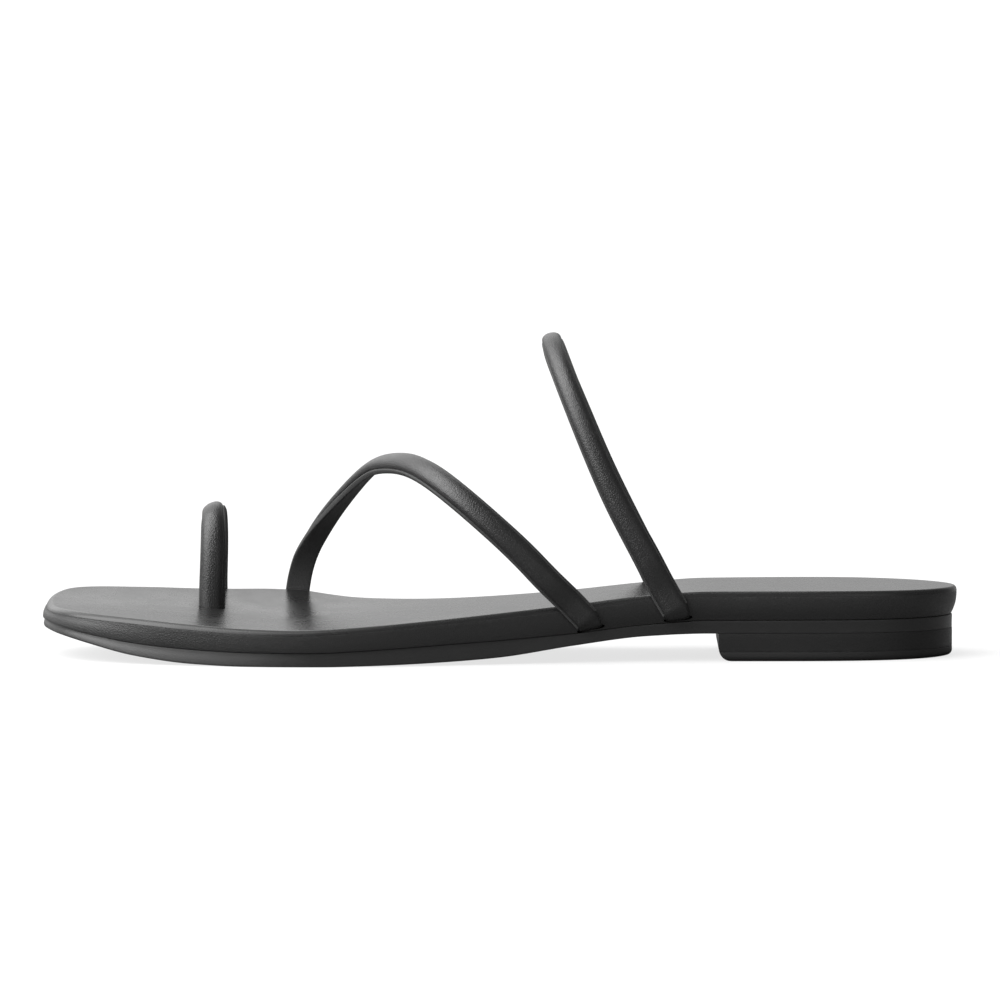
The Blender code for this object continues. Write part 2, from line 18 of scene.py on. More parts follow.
import bmesh
import bpy
import numpy as np
from bmesh.types import BMEdge, BMesh, BMFace, BMVert
from bpy.types import Material, Node, NodeSocket, NodeTree, Object
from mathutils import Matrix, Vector


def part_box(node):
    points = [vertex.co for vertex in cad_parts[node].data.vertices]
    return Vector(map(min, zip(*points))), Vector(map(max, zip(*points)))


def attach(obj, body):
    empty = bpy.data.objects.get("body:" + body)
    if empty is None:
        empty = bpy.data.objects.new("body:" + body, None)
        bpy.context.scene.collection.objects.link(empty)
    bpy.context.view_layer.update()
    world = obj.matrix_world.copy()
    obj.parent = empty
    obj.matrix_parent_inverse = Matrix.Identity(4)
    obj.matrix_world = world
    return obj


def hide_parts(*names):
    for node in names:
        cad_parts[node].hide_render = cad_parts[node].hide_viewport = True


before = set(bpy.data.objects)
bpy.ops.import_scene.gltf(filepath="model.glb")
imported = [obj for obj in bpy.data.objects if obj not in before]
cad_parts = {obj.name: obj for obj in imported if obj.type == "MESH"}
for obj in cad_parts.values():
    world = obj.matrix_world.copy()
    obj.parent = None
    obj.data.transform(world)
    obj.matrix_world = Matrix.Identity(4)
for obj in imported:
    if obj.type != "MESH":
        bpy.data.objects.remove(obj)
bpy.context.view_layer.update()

LOG = logging.getLogger("sandal")
MM = 0.001
BODY = "root"
EDGE = "edge"
SHARP_ANGLE = math.radians(38)
WELD = 0.002 * MM

Surface = Callable[[np.ndarray, np.ndarray], np.ndarray]


# Tables of the sandal's form


class Side(Enum):
    """A long side of the sole."""

    LATERAL = "lateral"
    MEDIAL = "medial"


class OutlinePoint(NamedTuple):
    """A point of the footprint, in shares of the length and of the ball's width."""

    name: str
    station: float
    offset: float


class ProfileRow(NamedTuple):
    """Heights of the sole's layers at a station share, and the medial lift, in millimetres."""

    station: float
    underside: float
    seam: float
    top: float
    lift: float


class FormRow(NamedTuple):
    """The foot at a station share: height as a share of the instep, ridge offset in millimetres."""

    station: float
    height: float
    ridge: float


class PathRow(NamedTuple):
    """A strap's place on the foot: station in millimetres, wrap in degrees, breadth share."""

    station: float
    wrap: float
    breadth: float


class Landing(NamedTuple):
    """A strap's place on the side wall: stations in millimetres, and its breadth share."""

    at_insole: float
    at_seam: float
    breadth: float


class WallRow(NamedTuple):
    """How far a side wall is drawn in at a height share, in millimetres, at toe, forepart and heel."""

    height: float
    toe: float
    forepart: float
    heel: float


class Inset(NamedTuple):
    """How far the outline is drawn in at the toe, at the forepart and at the heel."""

    toe: float
    forepart: float
    heel: float


OUTLINE = tuple(OutlinePoint(*row) for row in (
    ("toe_lateral_corner", 0.027, -0.222),
    ("little_toe", 0.100, -0.388),
    ("fifth_joint", 0.180, -0.474),
    ("ball_lateral", 0.296, -0.523),
    ("behind_ball_lateral", 0.420, -0.473),
    ("waist_lateral", 0.560, -0.376),
    ("heel_start_lateral", 0.690, -0.319),
    ("heel_side_lateral", 0.830, -0.312),
    ("heel_lateral_corner", 0.967, -0.194),
    ("heel_back", 1.000, 0.000),
    ("heel_medial_corner", 0.967, 0.198),
    ("heel_side_medial", 0.830, 0.308),
    ("heel_start_medial", 0.690, 0.271),
    ("waist_medial", 0.590, 0.258),
    ("arch_medial", 0.460, 0.324),
    ("behind_ball_medial", 0.368, 0.418),
    ("ball_medial", 0.280, 0.476),
    ("joint_medial", 0.180, 0.440),
    ("big_toe", 0.090, 0.390),
    ("toe_medial_corner", 0.020, 0.300),
    ("toe_tip", 0.000, 0.080),
))

PROFILE = tuple(ProfileRow(*row) for row in (
    (0.000, 7.8, 9.9, 13.8, 7.6),
    (0.020, 6.9, 9.1, 13.5, 7.1),
    (0.056, 4.9, 7.5, 13.0, 6.1),
    (0.104, 2.3, 5.7, 12.3, 5.4),
    (0.168, 0.5, 4.4, 11.1, 5.2),
    (0.228, 0.0, 3.8, 10.15, 5.3),
    (0.280, 0.0, 3.7, 9.85, 4.9),
    (0.312, 0.0, 3.8, 10.1, 3.7),
    (0.340, 0.1, 4.1, 10.5, 2.7),
    (0.384, 0.35, 4.7, 11.3, 1.9),
    (0.440, 0.9, 5.6, 12.5, 1.2),
    (0.500, 1.9, 6.5, 13.9, 0.8),
    (0.580, 4.7, 8.0, 15.9, 0.4),
    (0.660, 7.0, 10.1, 18.1, 0.0),
    (0.728, 7.6, 11.1, 19.15, 0.0),
    (0.860, 7.6, 11.2, 19.2, 0.0),
    (1.000, 7.6, 11.2, 19.0, 0.0),
))

FOOT_FORM = tuple(FormRow(*row) for row in (
    (0.220, 0.308, 12.0),
    (0.300, 0.398, 11.0),
    (0.360, 0.540, 9.0),
    (0.424, 0.674, 6.5),
    (0.488, 0.826, 4.5),
    (0.560, 1.004, 2.5),
    (0.640, 1.085, 1.5),
    (0.720, 1.140, 1.0),
))

FRONT_PATH = tuple(PathRow(*row) for row in (
    (70.8, 160.3, 0.94),
    (73.9, 142.7, 0.88),
    (78.7, 124.9, 0.90),
    (85.1, 108.8, 0.94),
    (90.9, 92.5, 0.98),
    (96.6, 77.8, 1.04),
    (102.3, 64.1, 1.07),
    (112.4, 41.4, 1.07),
    (122.3, 25.2, 1.07),
    (132.7, 12.0, 1.09),
    (138.0, 6.2, 1.10),
))

REAR_PATH = tuple(PathRow(*row) for row in (
    (166.0, 175.6, 1.10),
    (158.9, 163.7, 1.05),
    (152.2, 150.3, 1.00),
    (146.2, 134.0, 0.97),
    (141.7, 115.2, 0.95),
    (139.9, 91.0, 0.94),
    (141.9, 66.7, 0.95),
    (145.9, 48.6, 0.97),
    (151.4, 32.6, 1.00),
    (157.7, 19.4, 1.06),
    (165.0, 7.7, 1.12),
))


# Curves through tables


class SmoothCurve:
    """A cubic with continuous curvature through a row of points."""

    def __init__(self, knots: Sequence[float], points: np.ndarray, closed: bool = False) -> None:
        """Solves for the bend at each knot.

        Args:
            knots: rising parameters, one for each point.
            points: the points that the curve passes through.
            closed: whether the curve runs on from the last point into the first.
        """
        self.knots = np.asarray(knots, float)
        self.points = np.asarray(points, float)
        self.steps = np.diff(self.knots)
        count = len(self.knots)
        slopes = np.diff(self.points, axis=0) / self.steps[:, None]
        system = np.zeros((count, count))
        right = np.zeros(self.points.shape)
        for row in range(1, count - 1):
            before, after = self.steps[row - 1], self.steps[row]
            system[row, row - 1:row + 2] = before, 2 * (before + after), after
            right[row] = 6 * (slopes[row] - slopes[row - 1])
        system[0, 0] = system[-1, -1] = 1
        if closed:
            system[0, :2] = 2 * (self.steps[-1] + self.steps[0]), self.steps[0]
            system[0, -2] = self.steps[-1]
            right[0] = 6 * (slopes[0] - slopes[-1])
            system[-1, 0] = -1
        self.bends = np.linalg.solve(system, right)

    def __call__(self, parameters: np.ndarray) -> np.ndarray:
        """Finds points of the curve.

        Args:
            parameters: where along the knots to read the curve.

        Returns:
            One point for each parameter.
        """
        row = np.clip(np.searchsorted(self.knots, parameters) - 1, 0, len(self.steps) - 1)
        step = self.steps[row, None]
        after = (parameters[:, None] - self.knots[row, None]) / step
        before = 1 - after
        bend = (before**3 - before) * self.bends[row] + (after**3 - after) * self.bends[row + 1]
        return before * self.points[row] + after * self.points[row + 1] + bend * step**2 / 6


class LevelCurve:
    """A curve that follows a column of values without overshooting, so flat stretches stay flat."""

    def __init__(self, knots: Sequence[float], values: Sequence[float]) -> None:
        """Works out the slope at each knot.

        Args:
            knots: rising parameters, one for each value.
            values: the values that the curve passes through.
        """
        self.knots = np.asarray(knots, float)
        self.values = np.asarray(values, float)
        self.steps = np.diff(self.knots)
        slopes = np.diff(self.values) / self.steps
        product = slopes[:-1] * slopes[1:]
        inner = np.zeros(len(product))
        np.divide(2 * product, slopes[:-1] + slopes[1:], out=inner, where=product > 0)
        self.tangents = np.concatenate(([0], inner, [0]))

    def __call__(self, parameters: np.ndarray | float) -> np.ndarray:
        """Finds values of the curve.

        Args:
            parameters: where along the knots to read the curve.

        Returns:
            One value for each parameter.
        """
        held = np.clip(parameters, self.knots[0], self.knots[-1])
        row = np.clip(np.searchsorted(self.knots, held) - 1, 0, len(self.steps) - 1)
        step = self.steps[row]
        share = (held - self.knots[row]) / step
        rest = 1 - share
        ends = (1 + 2 * share) * rest**2 * self.values[row]
        ends = ends + share**2 * (1 + 2 * rest) * self.values[row + 1]
        turns = share * rest**2 * self.tangents[row] - share**2 * rest * self.tangents[row + 1]
        return ends + turns * step


def chord_lengths(points: np.ndarray) -> np.ndarray:
    """Measures the running distance along a row of points."""
    return np.concatenate(([0], np.cumsum(np.linalg.norm(np.diff(points, axis=0), axis=1))))


def unit(vectors: np.ndarray) -> np.ndarray:
    """Brings vectors to length one."""
    return vectors / np.linalg.norm(vectors, axis=-1, keepdims=True)


def eased(shares: np.ndarray | float) -> np.ndarray:
    """Eases shares between 0 and 1 in and out."""
    held = np.clip(shares, 0, 1)
    return held**2 * (3 - 2 * held)


def spaced(cells: int, border: float) -> np.ndarray:
    """Shares from 0 to 1 in a number of cells, of which the first and the last are a border wide."""
    return np.concatenate(([0], np.linspace(border, 1 - border, cells - 1), [1]))


# The sole's form


@dataclass
class Footprint:
    """The closed outline of the footbed, anticlockwise from above, split by four corners."""

    length: float = 250 * MM
    ball_width: float = 86 * MM
    toe_change: tuple[float, float] = (0.0, 0.16)
    heel_change: tuple[float, float] = (0.50, 0.72)
    samples: int = 1200

    def __post_init__(self) -> None:
        """Fits the curve through the outline and measures its two long sides."""
        points = [(row.station * self.length, row.offset * self.ball_width) for row in OUTLINE]
        ring = np.array([*points, points[0]])
        knots = chord_lengths(ring)
        self.curve = SmoothCurve(knots, ring, closed=True)
        self.around = knots[-1]
        self.corner = {row.name: knot for row, knot in zip(OUTLINE, knots)}
        self.long_sides = {
            Side.LATERAL: self.stretch("toe_lateral_corner", "heel_lateral_corner"),
            Side.MEDIAL: self.stretch("heel_medial_corner", "toe_medial_corner"),
        }

    def stretch(self, start: str, end: str) -> tuple[np.ndarray, np.ndarray]:
        """Samples the outline between two corners.

        Args:
            start: name of the first corner.
            end: name of the last corner.

        Returns:
            Rising stations, and the outline's parameter at each of them.
        """
        parameters = np.linspace(self.corner[start], self.corner[end], self.samples)
        stations = self.curve(parameters)[:, 0]
        order = np.argsort(stations)
        return stations[order], parameters[order]

    def points(self, parameters: np.ndarray) -> np.ndarray:
        """Finds plan points of the outline."""
        return self.curve(np.asarray(parameters) % self.around)

    def normals(self, parameters: np.ndarray) -> np.ndarray:
        """Finds the outward directions of the outline.

        Args:
            parameters: places along the outline.

        Returns:
            One plan direction for each parameter.
        """
        step = self.around / self.samples
        along = unit(self.points(parameters + step) - self.points(parameters - step))
        return np.stack((along[:, 1], -along[:, 0]), axis=1)

    def drawn_in(self, parameters: np.ndarray, inset: Inset) -> np.ndarray:
        """Draws the outline in.

        Args:
            parameters: places along the outline.
            inset: how far it is drawn in.

        Returns:
            One plan point for each parameter.
        """
        points = self.points(parameters)
        changes = (*self.toe_change, *self.heel_change)
        along = LevelCurve(changes, (inset.toe, inset.forepart, inset.forepart, inset.heel))
        drawn = along(points[:, 0] / self.length)
        return points - self.normals(parameters) * drawn[:, None]

    def parameter_at(self, side: Side, station: float) -> float:
        """Finds where a long side passes a station."""
        return float(np.interp(station, *self.long_sides[side]))

    def edge(self, side: Side, station: float) -> tuple[np.ndarray, np.ndarray]:
        """Finds a long side's plan point and outward direction at a station."""
        parameter = np.array([self.parameter_at(side, station)])
        return self.points(parameter)[0], self.normals(parameter)[0]

    def sole_plan(self, inset: Inset, along: np.ndarray, across: np.ndarray) -> np.ndarray:
        """Fills the whole outline with a grid.

        Args:
            inset: how far the outline is drawn in.
            along: shares of the grid's rows, toe to heel.
            across: shares of its columns, lateral to medial.

        Returns:
            A grid of plan points.
        """
        corner = self.corner
        toe_end = corner["toe_lateral_corner"] + self.around

        def side(start: float, end: float, shares: np.ndarray) -> np.ndarray:
            """Draws in the outline from one corner to another."""
            return self.drawn_in(start + (end - start) * shares, inset)

        return patch(
            side(toe_end, corner["toe_medial_corner"], across),
            side(corner["heel_lateral_corner"], corner["heel_medial_corner"], across),
            side(corner["toe_lateral_corner"], corner["heel_lateral_corner"], along),
            side(corner["toe_medial_corner"], corner["heel_medial_corner"], along),
            along, across)

    def heel_plan(self, inset: float, breast: float, along: np.ndarray, across: np.ndarray) -> np.ndarray:
        """Fills the outline behind the heel's straight breast with a grid.

        Args:
            inset: how far the heel's side is drawn in.
            breast: station of the breast.
            along: shares of the grid's rows, breast to back.
            across: shares of its columns, lateral to medial.

        Returns:
            A grid of plan points.
        """
        corner = self.corner

        def side(start: float, end: float, shares: np.ndarray) -> np.ndarray:
            """Draws in the outline from one place to another."""
            return self.drawn_in(start + (end - start) * shares, Inset(inset, inset, inset))

        lateral = side(self.parameter_at(Side.LATERAL, breast), corner["heel_lateral_corner"], along)
        medial = side(self.parameter_at(Side.MEDIAL, breast), corner["heel_medial_corner"], along)
        back = side(corner["heel_lateral_corner"], corner["heel_medial_corner"], across)
        front = lateral[0] + (medial[0] - lateral[0]) * across[:, None]
        return patch(front, back, lateral, medial, along, across)


def patch(
    front: np.ndarray, back: np.ndarray, lateral: np.ndarray, medial: np.ndarray,
    along: np.ndarray, across: np.ndarray,
) -> np.ndarray:
    """Fills in a grid of plan points between four sides that meet at the corners.

    Args:
        front: points of the front side, lateral to medial.
        back: points of the back side, lateral to medial.
        lateral: points of the lateral side, front to back.
        medial: points of the medial side, front to back.
        along: shares of the grid's rows.
        across: shares of its columns.

    Returns:
        The grid, front to back and lateral to medial.
    """
    u = along[:, None, None]
    v = across[None, :, None]
    ruled = (1 - v) * lateral[:, None] + v * medial[:, None] + (1 - u) * front[None] + u * back[None]
    near = (1 - v) * front[0] + v * front[-1]
    far = (1 - v) * back[0] + v * back[-1]
    return ruled - (1 - u) * near - u * far


@dataclass
class SoleForm:
    """Heights of the sole's layers over the floor, and where the sole stands in the frame."""

    footprint: Footprint
    insole_thickness: float = 1.5 * MM
    cover_line: float = 0.015 * MM
    seam_line: float = 0.06 * MM
    heel_line: float = 0.03 * MM
    tip_thickness: float = 2.5 * MM
    lift_start: float = -6 * MM
    lift_full: float = 41 * MM

    def __post_init__(self) -> None:
        """Reads the profile's columns, and the sole's place from the frame's insole."""
        stations = [row.station * self.footprint.length for row in PROFILE]
        self.underside = LevelCurve(stations, [row.underside * MM for row in PROFILE])
        self.seam = LevelCurve(stations, [row.seam * MM for row in PROFILE])
        self.top = LevelCurve(stations, [row.top * MM for row in PROFILE])
        self.medial_lift = LevelCurve(stations, [row.lift * MM for row in PROFILE])
        low, high = (np.array(corner)[:2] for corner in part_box("insole"))
        outline = self.footprint.points(np.linspace(0, self.footprint.around, self.footprint.samples))
        self.shift = (low + high - outline.min(axis=0) - outline.max(axis=0)) / 2

    def place(self, plan: np.ndarray, heights: np.ndarray | float) -> np.ndarray:
        """Brings plan points and heights into the frame."""
        moved = np.asarray(plan) + self.shift
        return np.concatenate((moved, np.asarray(heights)[..., None]), axis=-1)

    def lift(self, stations: np.ndarray, offsets: np.ndarray) -> np.ndarray:
        """Works out how far the dished medial side stands up from the flat of the sole."""
        share = np.maximum(0, offsets - self.lift_start) / (self.lift_full - self.lift_start)
        return self.medial_lift(stations) * share**2

    def outsole_bottom(self, stations: np.ndarray, offsets: np.ndarray) -> np.ndarray:
        """Height of the outsole's underside."""
        return self.underside(stations) + self.lift(stations, offsets)

    def outsole_top(self, stations: np.ndarray, offsets: np.ndarray) -> np.ndarray:
        """Height of the outsole's upper face."""
        return self.seam(stations) - self.seam_line / 2 + self.lift(stations, offsets)

    def board_bottom(self, stations: np.ndarray, offsets: np.ndarray) -> np.ndarray:
        """Height of the wrapped board's underside."""
        return self.outsole_top(stations, offsets) + self.seam_line

    def board_top(self, stations: np.ndarray, offsets: np.ndarray) -> np.ndarray:
        """Height of the wrapped board's upper face."""
        return self.cover_bottom(stations, offsets) - self.cover_line

    def cover_bottom(self, stations: np.ndarray, offsets: np.ndarray) -> np.ndarray:
        """Height of the insole cover's underside."""
        return self.cover_top(stations, offsets) - self.insole_thickness

    def cover_top(self, stations: np.ndarray, offsets: np.ndarray) -> np.ndarray:
        """Height of the face that the foot stands on."""
        return self.top(stations) + self.lift(stations, offsets)

    def block_top(self, stations: np.ndarray, offsets: np.ndarray) -> np.ndarray:
        """Height of the heel block's upper face, under the outsole."""
        return self.outsole_bottom(stations, offsets) - self.heel_line

    def block_bottom(self, stations: np.ndarray, offsets: np.ndarray) -> np.ndarray:
        """Height of the heel block's underside."""
        return self.tip_top(stations, offsets) + self.heel_line

    def tip_top(self, stations: np.ndarray, offsets: np.ndarray) -> np.ndarray:
        """Height of the heel tip's upper face."""
        return np.full_like(stations, self.tip_thickness)

    def floor(self, stations: np.ndarray, offsets: np.ndarray) -> np.ndarray:
        """Height of the floor."""
        return np.zeros_like(stations)

    def cover_edge(self, side: Side, station: float) -> np.ndarray:
        """Offset and height of the insole cover's edge at a station."""
        offset = self.footprint.edge(side, station)[0][1]
        return np.array((offset, self.cover_top(station, offset)))


# Shader nodes


def add_node(
    tree: NodeTree, kind: str,
    settings: dict[str, object] | None = None, inputs: dict[str | int, object] | None = None,
) -> Node:
    """Adds a node to a tree.

    Args:
        tree: the tree to add to.
        kind: the node's type name.
        settings: properties of the node.
        inputs: values for its sockets, or sockets to link them to.

    Returns:
        The new node.
    """
    node = tree.nodes.new(kind)
    for key, value in (settings or {}).items():
        setattr(node, key, value)
    for key, value in (inputs or {}).items():
        if isinstance(value, NodeSocket):
            tree.links.new(value, node.inputs[key])
        else:
            node.inputs[key].default_value = value
    return node


def add_math(
    tree: NodeTree, operation: str, first: NodeSocket | float, second: NodeSocket | float,
) -> NodeSocket:
    """Adds one step of arithmetic and gives its result's socket."""
    return add_node(tree, "ShaderNodeMath", {"operation": operation}, {0: first, 1: second}).outputs[0]


def new_group(name: str, inputs: dict[str, float], outputs: Sequence[str]) -> tuple[NodeTree, Node, Node]:
    """Starts a shader node group with number sockets.

    Args:
        name: the group's name.
        inputs: names and default values of its inputs.
        outputs: names of its outputs.

    Returns:
        The tree, its input node and its output node.
    """
    tree = bpy.data.node_groups.new(name, "ShaderNodeTree")
    for key, value in inputs.items():
        socket = tree.interface.new_socket(key, in_out="INPUT", socket_type="NodeSocketFloat")
        socket.default_value = value
    for key in outputs:
        tree.interface.new_socket(key, in_out="OUTPUT", socket_type="NodeSocketFloat")
    return tree, tree.nodes.new("NodeGroupInput"), tree.nodes.new("NodeGroupOutput")


class Effect(Enum):
    """A surface effect that several finishes share."""

    GRAIN = "hide_grain"
    WEAR = "handling_wear"

    def tree(self) -> NodeTree:
        """Gives the effect's node group, which is built the first time.

        Returns:
            The group's tree.
        """
        if self.value not in bpy.data.node_groups:
            pattern = {Effect.GRAIN: GrainPattern, Effect.WEAR: WearPattern}[self]()
            pattern.build(self.value)
        return bpy.data.node_groups[self.value]


@dataclass(frozen=True)
class GrainPattern:
    """Small pebbles parted by creases, finer pores, and slow changes of tone.

    Scales are shares of the pebbles' own scale.  The drift bends the pebbles by a share of
    their size.
    """

    drift_scale: float = 0.45
    drift_reach: float = 0.7
    crease_width: float = 0.32
    pore_scale: float = 2.6
    tone_scale: float = 0.06

    def build(self, name: str) -> None:
        """Builds the grain's node group.

        Args:
            name: the group's name.
        """
        tree, given, result = new_group(name, {"Scale": 1500.0, "Pores": 0.3}, ("Height", "Tone"))
        place = add_node(tree, "ShaderNodeTexCoord").outputs["Object"]
        scale = given.outputs["Scale"]

        def noise(share: float, detail: float) -> Node:
            """Adds a noise at a share of the pebbles' scale."""
            return add_node(tree, "ShaderNodeTexNoise", {}, {
                "Vector": place, "Scale": add_math(tree, "MULTIPLY", scale, share), "Detail": detail})

        drift = noise(self.drift_scale, detail=2.0)
        wander = add_node(tree, "ShaderNodeVectorMath", {"operation": "SCALE"}, {
            0: drift.outputs["Color"], "Scale": add_math(tree, "DIVIDE", self.drift_reach, scale)})
        bent = add_node(tree, "ShaderNodeVectorMath", {"operation": "ADD"}, {
            0: place, 1: wander.outputs["Vector"]}).outputs["Vector"]
        cells = add_node(tree, "ShaderNodeTexVoronoi", {"feature": "DISTANCE_TO_EDGE"}, {
            "Vector": bent, "Scale": scale})
        pebble = add_node(tree, "ShaderNodeMapRange", {"interpolation_type": "SMOOTHSTEP"}, {
            "Value": cells.outputs["Distance"], "From Max": self.crease_width}).outputs["Result"]
        fine = noise(self.pore_scale, detail=3.0)
        pores = add_math(tree, "MULTIPLY", fine.outputs["Fac"], given.outputs["Pores"])
        tree.links.new(add_math(tree, "ADD", pebble, pores), result.inputs["Height"])
        slow = noise(self.tone_scale, detail=4.0)
        tree.links.new(slow.outputs["Fac"], result.inputs["Tone"])


@dataclass(frozen=True)
class WearPattern:
    """Patches that are rubbed where an edge stands proud."""

    patch_scale: float = 320.0
    bare_from: float = 0.42
    rubbed_from: float = 0.72
    edge_sharpness: float = 3.0

    def build(self, name: str) -> None:
        """Builds the wear's node group.

        Args:
            name: the group's name.
        """
        tree, given, result = new_group(name, {"Edge": 0.0, "Amount": 0.5}, ("Mask",))
        place = add_node(tree, "ShaderNodeTexCoord").outputs["Object"]
        rubbed = add_node(tree, "ShaderNodeTexNoise", {}, {
            "Vector": place, "Scale": self.patch_scale, "Detail": 6.0, "Roughness": 0.65})
        spots = add_node(tree, "ShaderNodeMapRange", {"interpolation_type": "SMOOTHSTEP"}, {
            "Value": rubbed.outputs["Fac"], "From Min": self.bare_from, "From Max": self.rubbed_from})
        edge = add_math(tree, "POWER", given.outputs["Edge"], self.edge_sharpness)
        worn = add_math(tree, "MULTIPLY", spots.outputs["Result"], edge)
        tree.links.new(add_math(tree, "MULTIPLY", worn, given.outputs["Amount"]), result.inputs["Mask"])


@dataclass(frozen=True)
class Finish:
    """A leather or rubber surface: its greys, gloss, grain, wear and clear coat.

    Greys are linear.  Roughness runs from the smoothest patches to the roughest, over a
    range of the grain's tone.  The grain's size and depth are in metres.
    """

    name: str
    grey: float
    worn_grey: float
    roughness: tuple[float, float]
    grain_size: float
    grain_depth: float
    pores: float = 0.3
    wear: float = 0.5
    specular: float = 0.5
    coat: float = 0.0
    coat_roughness: float = 0.3
    tone_range: tuple[float, float] = (0.3, 0.7)

    def material(self) -> Material:
        """Gives the finish's material, which is built the first time.

        Returns:
            The material.
        """
        if self.name not in bpy.data.materials:
            made = bpy.data.materials.new(self.name)
            made.use_nodes = True
            self.paint(made.node_tree)
        return bpy.data.materials[self.name]

    def paint(self, tree: NodeTree) -> None:
        """Links the grain and the wear to the shader of a new material.

        Args:
            tree: the material's node tree.
        """
        shader = tree.nodes["Principled BSDF"]
        shader.inputs["Specular IOR Level"].default_value = self.specular
        shader.inputs["Coat Weight"].default_value = self.coat
        shader.inputs["Coat Roughness"].default_value = self.coat_roughness
        grain = add_node(tree, "ShaderNodeGroup", {"node_tree": Effect.GRAIN.tree()}, {
            "Scale": 1 / self.grain_size, "Pores": self.pores})
        edge = add_node(tree, "ShaderNodeAttribute", {"attribute_name": EDGE})
        wear = add_node(tree, "ShaderNodeGroup", {"node_tree": Effect.WEAR.tree()}, {
            "Edge": edge.outputs["Fac"], "Amount": self.wear})
        grey = add_node(tree, "ShaderNodeMapRange", {}, {
            "Value": wear.outputs["Mask"], "To Min": self.grey, "To Max": self.worn_grey})
        rough = add_node(tree, "ShaderNodeMapRange", {}, {
            "Value": grain.outputs["Tone"],
            "From Min": self.tone_range[0], "From Max": self.tone_range[1],
            "To Min": self.roughness[0], "To Max": self.roughness[1]})
        bump = add_node(tree, "ShaderNodeBump", {}, {
            "Strength": 1.0, "Distance": self.grain_depth, "Height": grain.outputs["Height"]})
        tree.links.new(grey.outputs["Result"], shader.inputs["Base Color"])
        tree.links.new(rough.outputs["Result"], shader.inputs["Roughness"])
        tree.links.new(bump.outputs["Normal"], shader.inputs["Normal"])


INSOLE_LEATHER = Finish(
    "smooth_insole", grey=0.014, worn_grey=0.035, roughness=(0.24, 0.31),
    grain_size=0.55 * MM, grain_depth=0.012 * MM, specular=0.36, coat=0.10, coat_roughness=0.20)
WRAP_LEATHER = Finish(
    "grained_wrap", grey=0.012, worn_grey=0.030, roughness=(0.36, 0.44),
    grain_size=0.60 * MM, grain_depth=0.035 * MM, specular=0.38, coat=0.10, coat_roughness=0.26)
STRAP_LEATHER = Finish(
    "grained_strap", grey=0.012, worn_grey=0.030, roughness=(0.32, 0.40),
    grain_size=0.60 * MM, grain_depth=0.050 * MM, specular=0.42, coat=0.12, coat_roughness=0.24)
# The lining's grey is lighter than the strap's: partly the lining leather's own colour, partly painted
# light that lifts its inner faces, which lie in shade.
LINING_LEATHER_WITH_PAINTED_LIGHT = Finish(
    "flat_lining", grey=0.045, worn_grey=0.055, roughness=(0.55, 0.65),
    grain_size=0.50 * MM, grain_depth=0.030 * MM, specular=0.2)
OUTSOLE_RUBBER = Finish(
    "satin_outsole", grey=0.011, worn_grey=0.028, roughness=(0.28, 0.36),
    grain_size=0.30 * MM, grain_depth=0.012 * MM, specular=0.42)
HEEL_LEATHER = Finish(
    "covered_heel", grey=0.010, worn_grey=0.030, roughness=(0.36, 0.44),
    grain_size=0.60 * MM, grain_depth=0.025 * MM, specular=0.28, coat=0.08, coat_roughness=0.26)
HEEL_RUBBER = Finish(
    "matt_tip", grey=0.010, worn_grey=0.030, roughness=(0.46, 0.56),
    grain_size=0.30 * MM, grain_depth=0.012 * MM, specular=0.4)


@dataclass(frozen=True)
class FloorPaint:
    """A matt floor that comes out white in the picture and throws little light on the sandal."""

    name: str = "floor_paint"
    grey: float = 0.17
    roughness: float = 0.9
    specular: float = 0.1
    glow: float = 0.75

    def material(self) -> Material:
        """Builds the paint's material.

        Returns:
            The material, whose glow only the camera sees.
        """
        made = bpy.data.materials.new(self.name)
        made.use_nodes = True
        tree = made.node_tree
        inputs = tree.nodes["Principled BSDF"].inputs
        inputs["Base Color"].default_value = (self.grey, self.grey, self.grey, 1)
        inputs["Roughness"].default_value = self.roughness
        inputs["Specular IOR Level"].default_value = self.specular
        inputs["Emission Strength"].default_value = self.glow
        ray = add_node(tree, "ShaderNodeLightPath")
        tree.links.new(ray.outputs["Is Camera Ray"], inputs["Emission Color"])
        return made


# Pieces


def new_piece(name: str, bm: BMesh) -> Object:
    """Turns a bmesh into an object of the scene, with its faces outwards.

    Args:
        name: the object's name.
        bm: the shape, which is freed.

    Returns:
        The new object.
    """
    bmesh.ops.recalc_face_normals(bm, faces=bm.faces)
    mesh = bpy.data.meshes.new(name)
    bm.to_mesh(mesh)
    bm.free()
    piece = bpy.data.objects.new(name, mesh)
    bpy.context.scene.collection.objects.link(piece)
    return piece


def cut(piece: Object, cutters: Sequence[Object]) -> None:
    """Takes the room of the cutters out of a piece.

    Args:
        piece: the piece to cut.
        cutters: closed shapes, which stay in the scene.
    """
    for cutter in cutters:
        modifier = piece.modifiers.new(cutter.name, "BOOLEAN")
        modifier.operation = "DIFFERENCE"
        modifier.solver = "EXACT"
        modifier.object = cutter
    graph = bpy.context.evaluated_depsgraph_get()
    whole = piece.data
    piece.data = bpy.data.meshes.new_from_object(piece.evaluated_get(graph))
    piece.modifiers.clear()
    name = whole.name
    bpy.data.meshes.remove(whole)
    piece.data.name = name


def dress(piece: Object, finish: Finish, node: str, replaces: bool = True) -> Object:
    """Gives a piece its finish and its place in the frame.

    Args:
        piece: the finished shape.
        finish: the surface that it gets.
        node: the solid that is hidden when the piece replaces it.
        replaces: whether it stands for that solid.

    Returns:
        The same piece.
    """
    piece.data.materials.clear()
    piece.data.materials.append(finish.material())
    piece.data.shade_smooth()
    piece.data.set_sharp_from_angle(angle=SHARP_ANGLE)
    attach(piece, BODY)
    if replaces:
        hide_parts(node)
    return piece


class Level(NamedTuple):
    """One plan grid of a layer, and its height share between the layer's faces."""

    height: float
    plan: np.ndarray


